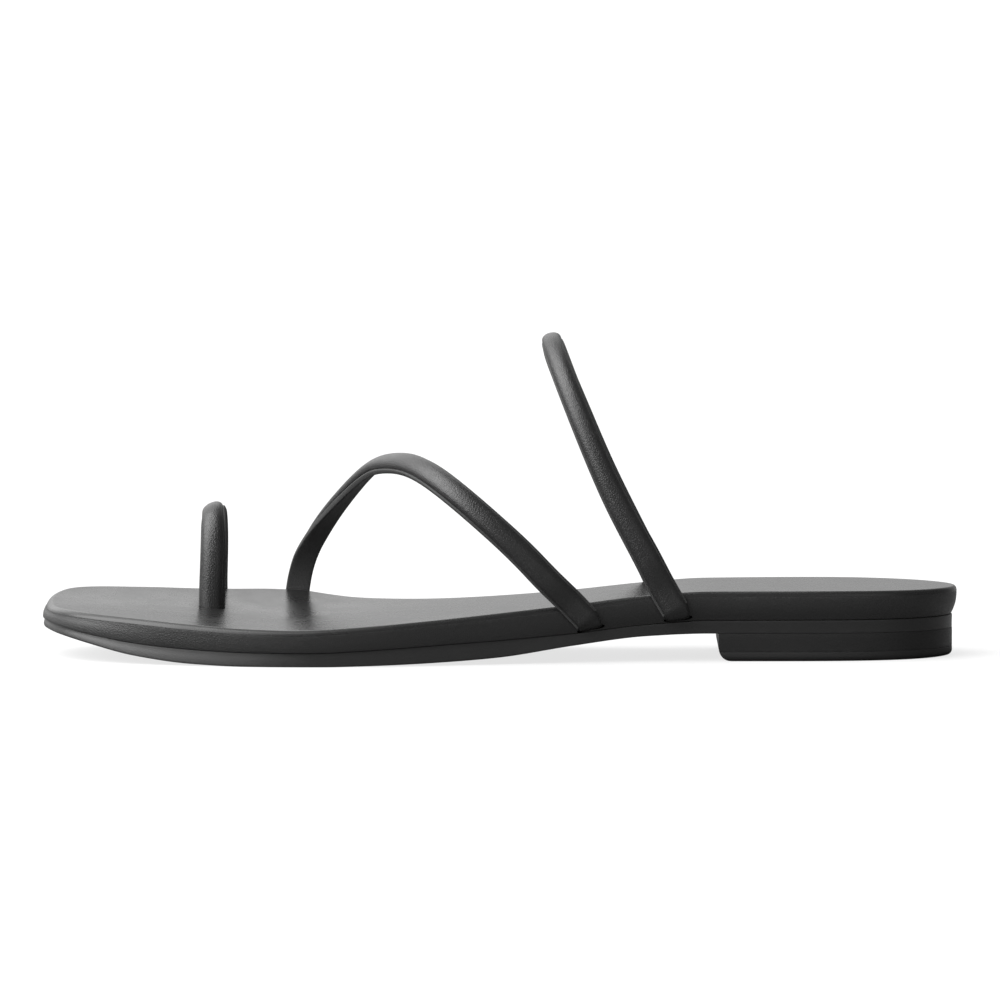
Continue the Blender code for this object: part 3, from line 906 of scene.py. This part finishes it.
def put_in_order(bm: BMesh) -> None:
    """Orders a shape by its vertices' indices, so that each run gives the same mesh.

    Args:
        bm: the shape, whose vertices have their indices already.
    """
    bm.verts.sort()
    span = max(vert.index for vert in bm.verts) + 1

    def rank(item: BMEdge | BMFace) -> float:
        """Ranks an edge or a face by its lowest and its highest vertex."""
        indices = [vert.index for vert in item.verts]
        return min(indices) * span + max(indices)

    bm.edges.sort(key=rank)
    bm.faces.sort(key=rank)


def stacked(
    form: SoleForm, levels: Sequence[Level], bottom: Surface, top: Surface, worn: tuple[float, float],
) -> BMesh:
    """Models a closed layer from plan grids that are stacked one over another.

    Args:
        form: the sole that the layer belongs to.
        levels: plan grids, from the lower face to the upper one.
        bottom: height of the lower face.
        top: height of the upper face.
        worn: height shares of the side where wear begins and where it is full.

    Returns:
        The layer, with the wear's places on its vertices.
    """
    rows, columns = (count - 1 for count in levels[0].plan.shape[:2])
    bm = bmesh.new()
    bmesh.ops.create_grid(bm, x_segments=rows, y_segments=columns, size=1)
    cap = [*bm.faces, *bm.edges]
    for index in range(1, len(levels)):
        cap = bmesh.ops.extrude_face_region(bm, geom=cap, use_keep_orig=index == 1)["geom"]
        raised = [item for item in cap if isinstance(item, BMVert)]
        bmesh.ops.translate(bm, verts=raised, vec=Vector((0, 0, 1)))
    flat = np.array([vert.co for vert in bm.verts])
    row = np.rint((flat[:, 0] + 1) / 2 * rows).astype(int)
    column = np.rint((flat[:, 1] + 1) / 2 * columns).astype(int)
    level = np.rint(flat[:, 2]).astype(int)
    plan = np.stack([item.plan for item in levels])[level, row, column]
    share = np.array([item.height for item in levels])[level]
    low, high = bottom(*plan.T), top(*plan.T)
    points = form.place(plan, low + share * (high - low))
    on_side = np.minimum.reduce((row, rows - row, column, columns - column)) == 0
    edge = np.where(on_side, eased((share - worn[0]) / (worn[1] - worn[0])), 0)
    order = (level * (rows + 1) + row) * (columns + 1) + column
    layer = bm.verts.layers.float.new(EDGE)
    for vert, index, point, wear in zip(bm.verts, order.tolist(), points, edge):
        vert.index = index
        vert.co = point
        vert[layer] = wear
    put_in_order(bm)
    return bm


@dataclass(frozen=True)
class LayerWall:
    """The side of a sole layer: its insets from below upwards, and its rounded edges in metres."""

    rows: tuple[WallRow, ...]
    thickness: float
    lower_radius: float
    upper_radius: float
    worn: tuple[float, float]
    steps: int = 7
    edge_steps: int = 4

    def levels(self, footprint: Footprint, along: np.ndarray, across: np.ndarray) -> list[Level]:
        """Lays the plan grids of the layer.

        Args:
            footprint: the outline that the wall follows.
            along: shares of the grids' rows.
            across: shares of their columns.

        Returns:
            Levels from the lower face to the upper one.
        """
        turn = np.linspace(0, math.pi / 2, self.edge_steps + 1)
        low = self.lower_radius / self.thickness
        high = self.upper_radius / self.thickness
        middle = np.linspace(low, 1 - high, self.steps + 1)[1:-1]
        heights = np.concatenate((low * (1 - np.cos(turn)), middle, 1 - high * (1 - np.sin(turn))))
        drawn = np.concatenate((
            self.lower_radius * (1 - np.sin(turn)),
            np.zeros(len(middle)),
            self.upper_radius * (1 - np.cos(turn))))
        shares, *columns = zip(*self.rows)
        insets = [LevelCurve(shares, np.array(column) * MM)(heights) + drawn for column in columns]
        return [
            Level(height, footprint.sole_plan(Inset(*inset), along, across))
            for height, *inset in zip(heights, *insets)
        ]


# Straps


class Section(NamedTuple):
    """One cross-section of a strap: middle of its inner face, facing, thickness and breadth share."""

    base: np.ndarray
    facing: np.ndarray
    thickness: float
    breadth: float


@dataclass(frozen=True)
class BandShape:
    """Cross-section of a band in shares of a strap's thickness, with its fullness round about."""

    middle: float
    above: float
    below: float
    above_fullness: float
    below_fullness: float
    side_fullness: float
    sides: int = 48
    widened: float = 0.0
    lengthened: float = 0.0


COVER_SHAPE = BandShape(
    middle=0.49, above=0.51, below=0.05,
    above_fullness=0.95, below_fullness=0.6, side_fullness=0.9, widened=-0.55 * MM)
LINING_SHAPE = BandShape(
    middle=0.23, above=0.23, below=0.23,
    above_fullness=0.35, below_fullness=0.35, side_fullness=0.40, sides=40)
POCKET_SHAPE = BandShape(
    middle=0.50, above=0.55, below=0.15,
    above_fullness=0.85, below_fullness=0.5, side_fullness=0.6,
    sides=32, widened=0.1 * MM, lengthened=0.1 * MM)
SLOT_SHAPE = BandShape(
    middle=0.50, above=0.53, below=0.53,
    above_fullness=0.7, below_fullness=0.7, side_fullness=0.6,
    sides=32, widened=0.1 * MM, lengthened=2 * MM)


def refined(sections: Sequence[Section], count: int) -> list[Section]:
    """Gives a strap evenly spaced sections.

    Args:
        sections: the sections that the strap passes through.
        count: how many sections it gets.

    Returns:
        The new sections, from the first given one to the last.
    """
    bases = np.array([section.base for section in sections])
    knots = chord_lengths(bases)
    places = np.linspace(0, knots[-1], count)
    return [Section(*row) for row in zip(
        SmoothCurve(knots, bases)(places),
        SmoothCurve(knots, np.array([section.facing for section in sections]))(places),
        LevelCurve(knots, [section.thickness for section in sections])(places),
        LevelCurve(knots, [section.breadth for section in sections])(places))]


def band_mesh(sections: Sequence[Section], width: float, shape: BandShape) -> BMesh:
    """Models a closed band along the sections of a strap.

    Args:
        sections: cross-sections along the strap.
        width: the strap's width at a breadth share of one.
        shape: the band's own cross-section.

    Returns:
        The band, with the wear's places on its vertices.
    """
    base = np.array([section.base for section in sections])
    run = chord_lengths(base)
    along = unit(np.gradient(base, run, axis=0))
    facing = np.array([section.facing for section in sections])
    facing = unit(facing - along * np.sum(facing * along, axis=1)[:, None])
    across = np.cross(along, facing)
    thickness = np.array([section.thickness for section in sections])
    half = np.array([section.breadth for section in sections]) * width / 2 + shape.widened
    base = base - along[[0]] * shape.lengthened * (np.arange(len(run)) == 0)[:, None]
    base = base + along[[-1]] * shape.lengthened * (np.arange(len(run)) == len(run) - 1)[:, None]
    angle = np.arange(shape.sides + 1) * 2 * math.pi / shape.sides
    cosine, sine = np.cos(angle), np.sin(angle)
    wide = np.sign(cosine) * np.abs(cosine)**shape.side_fullness
    over = shape.above * np.maximum(sine, 0)**shape.above_fullness
    under = shape.below * np.maximum(-sine, 0)**shape.below_fullness
    deep = thickness[:, None] * (shape.middle + over - under)
    points = base[:, None] + across[:, None] * (half[:, None] * wide)[..., None]
    points = points + facing[:, None] * deep[..., None]
    bm = bmesh.new()
    bmesh.ops.create_grid(bm, x_segments=len(sections) - 1, y_segments=shape.sides, size=1)
    layer = bm.verts.layers.float.new(EDGE)
    for vert in bm.verts:
        row = round((vert.co.x + 1) / 2 * (len(sections) - 1))
        column = round((vert.co.y + 1) / 2 * shape.sides)
        vert.co = points[row, column]
        vert[layer] = abs(wide[column])
    bmesh.ops.remove_doubles(bm, verts=bm.verts, dist=WELD)
    rims = [edge for edge in bm.edges if edge.is_boundary]
    bmesh.ops.holes_fill(bm, edges=rims, sides=0)
    return bm


@dataclass
class FootForm:
    """The foot that the two long straps lie on."""

    sole: SoleForm
    instep: float = 68 * MM

    def __post_init__(self) -> None:
        """Reads the form's columns."""
        stations = [row.station * self.sole.footprint.length for row in FOOT_FORM]
        self.height = LevelCurve(stations, [row.height * self.instep for row in FOOT_FORM])
        self.ridge = LevelCurve(stations, [row.ridge * MM for row in FOOT_FORM])

    def point(self, station: float, wrap: float) -> np.ndarray:
        """Finds a point of the form.

        Args:
            station: distance from the toe tip.
            wrap: degrees round the foot, 0 at the lateral edge, 90 at the ridge.

        Returns:
            The point in the frame.
        """
        ridge = np.array((self.ridge(station), self.sole.top(station) + self.height(station)))
        lateral = self.sole.cover_edge(Side.LATERAL, station)
        medial = self.sole.cover_edge(Side.MEDIAL, station)
        offset, height = arch_point(lateral, ridge, medial, wrap, squareness=1.0)
        return self.sole.place((station, offset), height)


@dataclass
class ToeForm:
    """The big toe that the loop lies on."""

    sole: SoleForm
    station: float = 46.1 * MM
    inner_offset: float = 16.5 * MM
    toe_height: float = 24.3 * MM
    slope: float = 0.50
    squareness: float = 0.72

    def point(self, station: float, wrap: float) -> np.ndarray:
        """Finds a point of the form, which rises towards the foot.

        Args:
            station: distance from the toe tip.
            wrap: degrees round the toe, 0 at its inner side, 90 at its top.

        Returns:
            The point in the frame.
        """
        inner = np.array((self.inner_offset, self.sole.cover_top(station, self.inner_offset)))
        outer = self.sole.cover_edge(Side.MEDIAL, station)
        top = self.sole.top(self.station) + self.toe_height + self.slope * (station - self.station)
        ridge = np.array(((inner[0] + outer[0]) / 2, top))
        offset, height = arch_point(inner, ridge, outer, wrap, self.squareness)
        return self.sole.place((station, offset), height)


def arch_point(
    lateral: np.ndarray, ridge: np.ndarray, medial: np.ndarray, wrap: float, squareness: float,
) -> np.ndarray:
    """Finds a point on an arch over the foot.

    Args:
        lateral: offset and height of the foot that it stands on at 0 degrees.
        ridge: offset and height of its top.
        medial: offset and height of the foot that it stands on at 180 degrees.
        wrap: how far round the arch the point lies, in degrees.
        squareness: 1 for a round arch, less for a squarer one.

    Returns:
        Offset and height of the point.
    """
    angle = math.radians(wrap)
    foot = lateral if wrap <= 90 else medial
    shares = np.array((1 - abs(math.cos(angle))**squareness, abs(math.sin(angle))**squareness))
    return foot + (ridge - foot) * shares


@dataclass(frozen=True)
class StrapSizes:
    """Sizes that the three straps share, in metres unless they are shares."""

    width: float = 6.8 * MM
    thickness: float = 3.8 * MM
    wall_thickness: float = 2.75 * MM
    tail_thickness: float = 1.5 * MM
    form_gap: float = 0.4 * MM
    wall_gap: float = 0.05 * MM
    tail_gap: float = 0.51 * MM
    tail_length: float = 9 * MM
    tail_bend: float = 2.2 * MM
    tail_slant: float = 0.4
    wall_shares: tuple[float, ...] = (1.0, 0.72, 0.45)
    bend_shares: tuple[float, ...] = (0.15, 0.3, 0.45, 0.6, 0.72, 0.85)
    crest_trim: float = 0.15
    crest_sharpness: int = 12
    nudge: float = 0.5


@dataclass
class Strap(ABC):
    """A rolled strap: a domed leather cover over a flat lining."""

    node: str
    sole: SoleForm
    sizes: StrapSizes = StrapSizes()
    sections: int = 170

    def on_form(self, point: Callable[[float, float], np.ndarray], row: PathRow) -> Section:
        """Lays a section of the strap on a foot's form.

        Args:
            point: gives a point of the form at a station and a wrap.
            row: the section's place.

        Returns:
            The section.
        """
        station, step = row.station * MM, self.sizes.nudge
        along = point(station + step * MM, row.wrap) - point(station - step * MM, row.wrap)
        around = point(station, row.wrap + step) - point(station, row.wrap - step)
        facing = unit(np.cross(along, around))
        base = point(station, row.wrap) + facing * self.sizes.form_gap
        return Section(base, facing, self.sizes.thickness, row.breadth)

    def on_wall(self, side: Side, landing: Landing) -> list[Section]:
        """Lays sections of the strap down the side of the footbed.

        Args:
            side: the side that the strap wraps.
            landing: the strap's place there.

        Returns:
            Sections from the insole towards the seam.
        """
        sections = []
        for share in self.sizes.wall_shares:
            station = (landing.at_insole * share + landing.at_seam * (1 - share)) * MM
            plan, normal = self.sole.footprint.edge(side, station)
            low, high = self.sole.board_bottom(*plan), self.sole.cover_top(*plan)
            facing = np.array((*normal, 0.0))
            base = self.sole.place(plan, low + share * (high - low)) + facing * self.sizes.wall_gap
            sections.append(Section(base, facing, self.sizes.wall_thickness, landing.breadth))
        return sections

    def tail(self, last: Section, before: Section) -> list[Section]:
        """The bend round the seam and the tail under the board.

        Args:
            last: the strap's last section on the wall.
            before: the section before it.

        Returns:
            Sections from the bend to the tail's end.
        """
        sizes = self.sizes
        run = last.base - before.base
        sideways = run * (1, 1, 0)
        sideways = sideways - last.facing * (sideways @ last.facing)
        sideways = sideways * sizes.tail_slant / abs(run[2])

        def under(distance: float) -> Section:
            """Lays a section of the tail.

            Args:
                distance: how far in from the wall it lies.

            Returns:
                The section, facing down.
            """
            point = last.base - last.facing * distance + sideways * (sizes.tail_bend + distance)
            station, offset = point[:2] - self.sole.shift
            height = self.sole.outsole_top
            slopes = (height(station + MM, offset) - height(station - MM, offset),
                      height(station, offset + MM) - height(station, offset - MM))
            point[2] = height(station, offset) + sizes.tail_gap + sizes.tail_thickness
            facing = unit(np.array((*slopes, -2 * MM)))
            return Section(point, facing, sizes.tail_thickness, last.breadth)

        corner = under(0.0)
        start = under(sizes.tail_bend)
        bend = []
        for share in sizes.bend_shares:
            rest = 1 - share
            base = rest**2 * last.base + 2 * share * rest * corner.base + share**2 * start.base
            thinned = math.sqrt(share)
            thickness = (1 - thinned) * last.thickness + thinned * start.thickness
            bend.append(Section(base, rest * last.facing + share * start.facing, thickness, last.breadth))
        return [*bend, start, under(sizes.tail_bend + sizes.tail_length)]

    @abstractmethod
    def course(self) -> tuple[list[Section], list[Section], list[Section]]:
        """Gives the strap's first tail, its body and its last tail."""

    def trimmed(self, section: Section) -> Section:
        """Narrows the lining where the strap lies level, so that the cover hides it at the crest."""
        level = max(0.0, unit(section.facing)[2])**self.sizes.crest_sharpness
        return section._replace(breadth=section.breadth * (1 - self.sizes.crest_trim * level))

    def build(self) -> None:
        """Models the cover and the lining."""
        start, body, end = self.course()
        width = self.sizes.width
        whole = [*start, *body, *end]
        lined = [self.trimmed(section) for section in body]
        self.cover = new_piece(f"{self.node}_cover", band_mesh(whole, width, COVER_SHAPE))
        self.lining = new_piece(f"{self.node}_lining", band_mesh(lined, width, LINING_SHAPE))

    def pockets(self) -> list[Object]:
        """Models the room that the tails need in the board.

        Returns:
            One closed shape for each tail.
        """
        start, body, end = self.course()
        tails = [[*start, body[0]]] if start else []
        tails.append([body[-1], *end])
        return [
            new_piece(f"{self.node}_pocket", band_mesh(tail, self.sizes.width, POCKET_SHAPE))
            for tail in tails
        ]

    def dress(self, cover: Finish, lining: Finish) -> list[Object]:
        """Finishes the cover and the lining, and gives them back."""
        return [dress(self.cover, cover, self.node), dress(self.lining, lining, self.node, replaces=False)]


@dataclass
class WrappedStrap(Strap):
    """A strap over the foot that wraps both edges of the footbed."""

    path: tuple[PathRow, ...] = ()
    medial: Landing = Landing(at_insole=0, at_seam=0, breadth=1)
    lateral: Landing = Landing(at_insole=0, at_seam=0, breadth=1)
    toe_lean: float = 0.0
    levelled: float = 0.0
    level_sharpness: int = 8

    def settled(self, section: Section, wrap: float) -> Section:
        """Turns a section towards the toe on the lateral run, and level at the crest.

        Args:
            section: the section as it lies on the foot.
            wrap: its place round the foot, in degrees.

        Returns:
            The section with its new facing.
        """
        run = math.sin(math.radians(2 * min(wrap, 90)))
        crest = math.sin(math.radians(wrap))**self.level_sharpness
        facing = section.facing * (1 - self.levelled * crest, 1, 1)
        return section._replace(facing=unit(facing - np.array((self.toe_lean * run, 0, 0))))

    def course(self) -> tuple[list[Section], list[Section], list[Section]]:
        """Runs the strap over the foot, from one edge of the footbed to the other.

        Returns:
            Its medial tail, its body and its lateral tail.
        """
        foot = FootForm(self.sole)
        over = [self.settled(self.on_form(foot.point, row), row.wrap) for row in self.path]
        medial = self.on_wall(Side.MEDIAL, self.medial)
        lateral = self.on_wall(Side.LATERAL, self.lateral)
        body = refined([*medial[::-1], *over, *lateral], self.sections)
        return self.tail(body[0], body[1])[::-1], body, self.tail(body[-1], body[-2])


@dataclass
class ToeLoop(Strap):
    """The strap round the big toe: one leg through the footbed, the other over its medial edge."""

    medial: Landing = Landing(at_insole=46.4, at_seam=46.6, breadth=1.05)
    lean: float = 0.8
    leg_rise: float = 3 * MM
    wraps: tuple[float, ...] = (22, 40, 58, 76, 94, 112, 130, 148, 164)
    leg_shares: tuple[float, ...] = (0.0, 0.5, 1.0)

    def leg(self) -> list[Section]:
        """Lays the straight leg.

        Returns:
            Sections from the outsole up to the start of the loop.
        """
        toe = ToeForm(self.sole)
        plan = np.array((toe.station, toe.inner_offset - self.sizes.form_gap))
        low, high = self.sole.board_bottom(*plan), self.sole.cover_top(*plan) + self.leg_rise
        facing = np.array((0.0, -1.0, 0.0))
        return [
            Section(self.sole.place(plan, low + share * (high - low)), facing,
                    self.sizes.thickness, self.medial.breadth)
            for share in self.leg_shares
        ]

    def course(self) -> tuple[list[Section], list[Section], list[Section]]:
        """Runs the strap from the footbed round the toe.

        Returns:
            No first tail, the whole loop, and its medial tail.
        """
        toe = ToeForm(self.sole)
        arch = []
        stations = np.linspace(toe.station / MM, self.medial.at_insole, len(self.wraps))
        for station, wrap in zip(stations, self.wraps):
            leaning = station + self.lean * math.sin(math.radians(wrap))
            arch.append(self.on_form(toe.point, PathRow(leaning, wrap, self.medial.breadth)))
        body = refined([*self.leg(), *arch, *self.on_wall(Side.MEDIAL, self.medial)], self.sections)
        return [], body, self.tail(body[-1], body[-2])

    def slot(self) -> Object:
        """Models the room of the slot that the leg goes through."""
        return new_piece(f"{self.node}_slot", band_mesh(self.leg(), self.sizes.width, SLOT_SHAPE))


# Sub-assemblies


class SubAssembly(ABC):
    """A group of pieces that is modelled first, and finished when all cuts are made."""

    @abstractmethod
    def build(self) -> None:
        """Models the pieces."""

    @abstractmethod
    def dress(self) -> list[Object]:
        """Finishes the pieces and gives them back."""


@dataclass
class Upper(SubAssembly):
    """The three straps."""

    sole: SoleForm
    straps: list[Strap] = field(default_factory=list)

    def build(self) -> None:
        """Models the straps from toe to instep."""
        self.loop = ToeLoop("toe_loop", self.sole, sections=130)
        front = WrappedStrap(
            "front_strap", self.sole, path=FRONT_PATH,
            medial=Landing(at_insole=69.2, at_seam=68.5, breadth=0.97),
            lateral=Landing(at_insole=144.8, at_seam=151.5, breadth=1.10))
        rear = WrappedStrap(
            "rear_strap", self.sole, path=REAR_PATH,
            medial=Landing(at_insole=168.6, at_seam=171.8, breadth=1.12),
            lateral=Landing(at_insole=170.1, at_seam=174.6, breadth=1.14),
            toe_lean=0.17, levelled=0.6)
        self.straps = [self.loop, front, rear]
        for strap in self.straps:
            strap.build()

    def dress(self) -> list[Object]:
        """Finishes the straps in grained leather, and gives their pieces back."""
        return [piece for strap in self.straps for piece in strap.dress(STRAP_LEATHER, LINING_LEATHER_WITH_PAINTED_LIGHT)]


@dataclass
class Footbed(SubAssembly):
    """The insole cover on its leather-wrapped board."""

    sole: SoleForm
    along: np.ndarray = field(default_factory=lambda: spaced(cells=210, border=0.002))
    across: np.ndarray = field(default_factory=lambda: spaced(cells=38, border=0.006))
    cover_wall: LayerWall = LayerWall(
        (WallRow(0.0, 1.0, 0.0, 0.0), WallRow(0.4, 1.3, 0.2, 0.1), WallRow(1.0, 2.1, 0.7, 0.3)),
        thickness=1.5 * MM, lower_radius=0.01 * MM, upper_radius=0.7 * MM, worn=(0.4, 0.9), edge_steps=6)
    board_wall: LayerWall = LayerWall(
        (WallRow(0.0, 0.05, 0.25, 1.50), WallRow(0.22, 0.10, 0.10, 0.90),
         WallRow(0.6, 0.40, 0.0, 0.20), WallRow(1.0, 1.00, 0.0, 0.0)),
        thickness=5.5 * MM, lower_radius=0.15 * MM, upper_radius=0.01 * MM, worn=(0.6, 1.0))

    def build(self) -> None:
        """Models both layers."""
        form = self.sole
        levels = self.cover_wall.levels(form.footprint, self.along, self.across)
        self.cover = new_piece("insole_cover", stacked(
            form, levels, form.cover_bottom, form.cover_top, self.cover_wall.worn))
        levels = self.board_wall.levels(form.footprint, self.along, self.across)
        self.board = new_piece("wrapped_board", stacked(
            form, levels, form.board_bottom, form.board_top, self.board_wall.worn))

    def let_in(self, upper: Upper) -> None:
        """Cuts the slot of the toe loop and the pockets of the strap ends.

        Args:
            upper: the straps, which are modelled already.
        """
        slot = upper.loop.slot()
        pockets = [pocket for strap in upper.straps for pocket in strap.pockets()]
        cut(self.cover, [slot])
        cut(self.board, [slot, *pockets])
        for cutter in (slot, *pockets):
            bpy.data.meshes.remove(cutter.data)

    def dress(self) -> list[Object]:
        """Finishes the cover in smooth leather and the board's wrap in grained leather."""
        return [dress(self.cover, INSOLE_LEATHER, "insole"), dress(self.board, WRAP_LEATHER, "midsole")]


@dataclass
class Outsole(SubAssembly):
    """The bent sheet under the footbed."""

    sole: SoleForm
    along: np.ndarray = field(default_factory=lambda: spaced(cells=200, border=0.002))
    across: np.ndarray = field(default_factory=lambda: spaced(cells=34, border=0.006))
    wall: LayerWall = LayerWall(
        (WallRow(0.0, 0.30, 0.35, 1.30), WallRow(0.3, 0.40, 0.45, 1.30), WallRow(1.0, 0.95, 0.85, 1.25)),
        thickness=3.6 * MM, lower_radius=0.12 * MM, upper_radius=0.12 * MM, worn=(0.5, 0.0))

    def build(self) -> None:
        """Models the sheet."""
        form = self.sole
        levels = self.wall.levels(form.footprint, self.along, self.across)
        self.sheet = new_piece("outsole_sheet", stacked(
            form, levels, form.outsole_bottom, form.outsole_top, self.wall.worn))

    def dress(self) -> list[Object]:
        """Finishes the sheet in satin rubber."""
        return [dress(self.sheet, OUTSOLE_RUBBER, "outsole")]


@dataclass
class Heel(SubAssembly):
    """The low heel block and the wearing piece under it."""

    sole: SoleForm
    breast: float = 184.5 * MM
    inset: float = 1.25 * MM
    corner_radius: float = 3.6 * MM
    edge_radius: float = 1.4 * MM
    line_radius: float = 0.04 * MM
    along: np.ndarray = field(default_factory=lambda: spaced(cells=60, border=0.006))
    across: np.ndarray = field(default_factory=lambda: spaced(cells=36, border=0.008))
    block_shares: tuple[float, ...] = (0.0, 0.04, 0.15, 0.35, 0.65, 0.95, 1.0)
    tip_shares: tuple[float, ...] = (0.0, 0.05, 0.12, 0.22, 0.34, 0.48, 0.64, 0.8, 0.93, 1.0)
    block_worn: tuple[float, float] = (0.4, 0.0)
    tip_worn: tuple[float, float] = (0.6, 0.0)

    def levels(self, base: float, thickness: float, shares: Sequence[float]) -> list[Level]:
        """Lays the plan grids of one layer of the heel.

        Args:
            base: height of its lower face.
            thickness: its thickness at the back.
            shares: height shares of its levels.

        Returns:
            Levels from the lower face to the upper one.
        """
        found = []
        for share in shares:
            height = base + share * thickness
            line = self.line_radius if share in (0.0, 1.0) and height > 0 else 0.0
            inset = self.inset + rounded(height, self.edge_radius) + line
            breast = self.breast + rounded(height, self.corner_radius) + line
            plan = self.sole.footprint.heel_plan(inset, breast, self.along, self.across)
            found.append(Level(share, plan))
        return found

    def build(self) -> None:
        """Models the block and the tip."""
        form = self.sole
        base = form.tip_thickness + form.heel_line
        height = float(form.underside(form.footprint.length)) - form.heel_line - base
        block = stacked(form, self.levels(base, height, self.block_shares),
                        form.block_bottom, form.block_top, self.block_worn)
        tip = stacked(form, self.levels(0.0, form.tip_thickness, self.tip_shares),
                      form.floor, form.tip_top, self.tip_worn)
        self.block = new_piece("heel_stack", block)
        self.tip = new_piece("heel_top_piece", tip)

    def dress(self) -> list[Object]:
        """Finishes the block in leather and the tip in rubber."""
        return [dress(self.block, HEEL_LEATHER, "heel_block"), dress(self.tip, HEEL_RUBBER, "heel_tip")]


def rounded(height: float, radius: float) -> float:
    """How far a quarter-round lower edge is drawn in at a height above it."""
    rest = max(0.0, radius - height)
    return radius - math.sqrt(radius**2 - rest**2)


# Studio


class Glow(NamedTuple):
    """A soft light in the surroundings: where it stands, its strength, and how it fades out."""

    name: str
    towards: tuple[float, float, float]
    strength: float
    fades_at: float
    full_at: float


@dataclass
class Studio:
    """A pale floor under soft lights, and the camera of the photograph."""

    aim: tuple[float, float, float] = (0.0002, 0.0, 0.0422)
    elevation: float = math.radians(3.9)
    distance: float = 3.0
    lens: float = 395.5
    floor_size: float = 20.0
    floor_paint: FloorPaint = FloorPaint()
    far_clip: float = 60.0
    surround: float = 0.20
    glows: tuple[Glow, ...] = (
        Glow("pale back wall", (0.0, 1.0, 0.1), 0.26, 0.5, 0.95),
        Glow("high back light", (-0.262, 0.720, 0.643), 1.30, 0.75, 0.98),
        Glow("main light over the toe", (-0.659, -0.177, 0.731), 7.00, 0.70, 0.99),
        Glow("low front light", (-0.643, -0.714, 0.276), 2.80, 0.86, 0.985),
        Glow("rim light behind the toe", (-0.88, 0.47, 0.05), 0.90, 0.90, 0.985),
        Glow("fill light at the heel", (0.40, -0.91, 0.05), 0.55, 0.86, 0.98),
    )

    def build(self) -> None:
        """Sets up the floor, the lights and the camera."""
        scene = bpy.context.scene
        scene.view_settings.view_transform = "Standard"
        self.light(scene)
        self.lay_floor()
        self.set_camera(scene)

    def light(self, scene: bpy.types.Scene) -> None:
        """Fills the surroundings with soft light from a few sides.

        Args:
            scene: the scene that gets the light.
        """
        world = bpy.data.worlds.new("studio_light")
        world.use_nodes = True
        tree = world.node_tree
        way = add_node(tree, "ShaderNodeTexCoord").outputs["Generated"]
        total: NodeSocket | float = self.surround
        for glow in self.glows:
            towards = tuple(Vector(glow.towards).normalized())
            facing = add_node(tree, "ShaderNodeVectorMath", {"operation": "DOT_PRODUCT"}, {
                0: way, 1: towards})
            settings = {"label": glow.name, "interpolation_type": "SMOOTHSTEP"}
            fade = add_node(tree, "ShaderNodeMapRange", settings, {
                "Value": facing.outputs["Value"], "From Min": glow.fades_at, "From Max": glow.full_at,
                "To Max": glow.strength})
            total = add_math(tree, "ADD", fade.outputs["Result"], total)
        tree.links.new(total, tree.nodes["Background"].inputs["Color"])
        scene.world = world

    def lay_floor(self) -> None:
        """Lays the floor under the sandal."""
        bm = bmesh.new()
        bmesh.ops.create_grid(bm, x_segments=1, y_segments=1, size=self.floor_size)
        floor = new_piece("floor", bm)
        floor.data.materials.append(self.floor_paint.material())

    def set_camera(self, scene: bpy.types.Scene) -> None:
        """Puts the camera where the photograph was taken from.

        Args:
            scene: the scene that gets the camera.
        """
        data = bpy.data.cameras.new("photo_camera")
        data.lens = self.lens
        data.clip_end = self.far_clip
        camera = bpy.data.objects.new("photo_camera", data)
        back = Vector((0, -math.cos(self.elevation), math.sin(self.elevation)))
        camera.location = Vector(self.aim) + back * self.distance
        camera.rotation_euler = back.to_track_quat("Z", "Y").to_euler()
        scene.collection.objects.link(camera)
        scene.camera = camera


def main() -> None:
    """Builds the sandal's sub-assemblies in order, and the studio round them."""
    sole = SoleForm(Footprint())
    upper = Upper(sole)
    footbed = Footbed(sole)
    outsole = Outsole(sole)
    heel = Heel(sole)
    assemblies: tuple[SubAssembly, ...] = (upper, footbed, outsole, heel)
    for assembly in assemblies:
        assembly.build()
    footbed.let_in(upper)
    for assembly in assemblies:
        for piece in assembly.dress():
            mesh = piece.data
            LOG.info("%s: %d faces of %s", piece.name, len(mesh.polygons), mesh.materials[0].name)
    Studio().build()


if __name__ == "__main__":
    logging.basicConfig(level=logging.INFO, format="%(message)s")
    main()
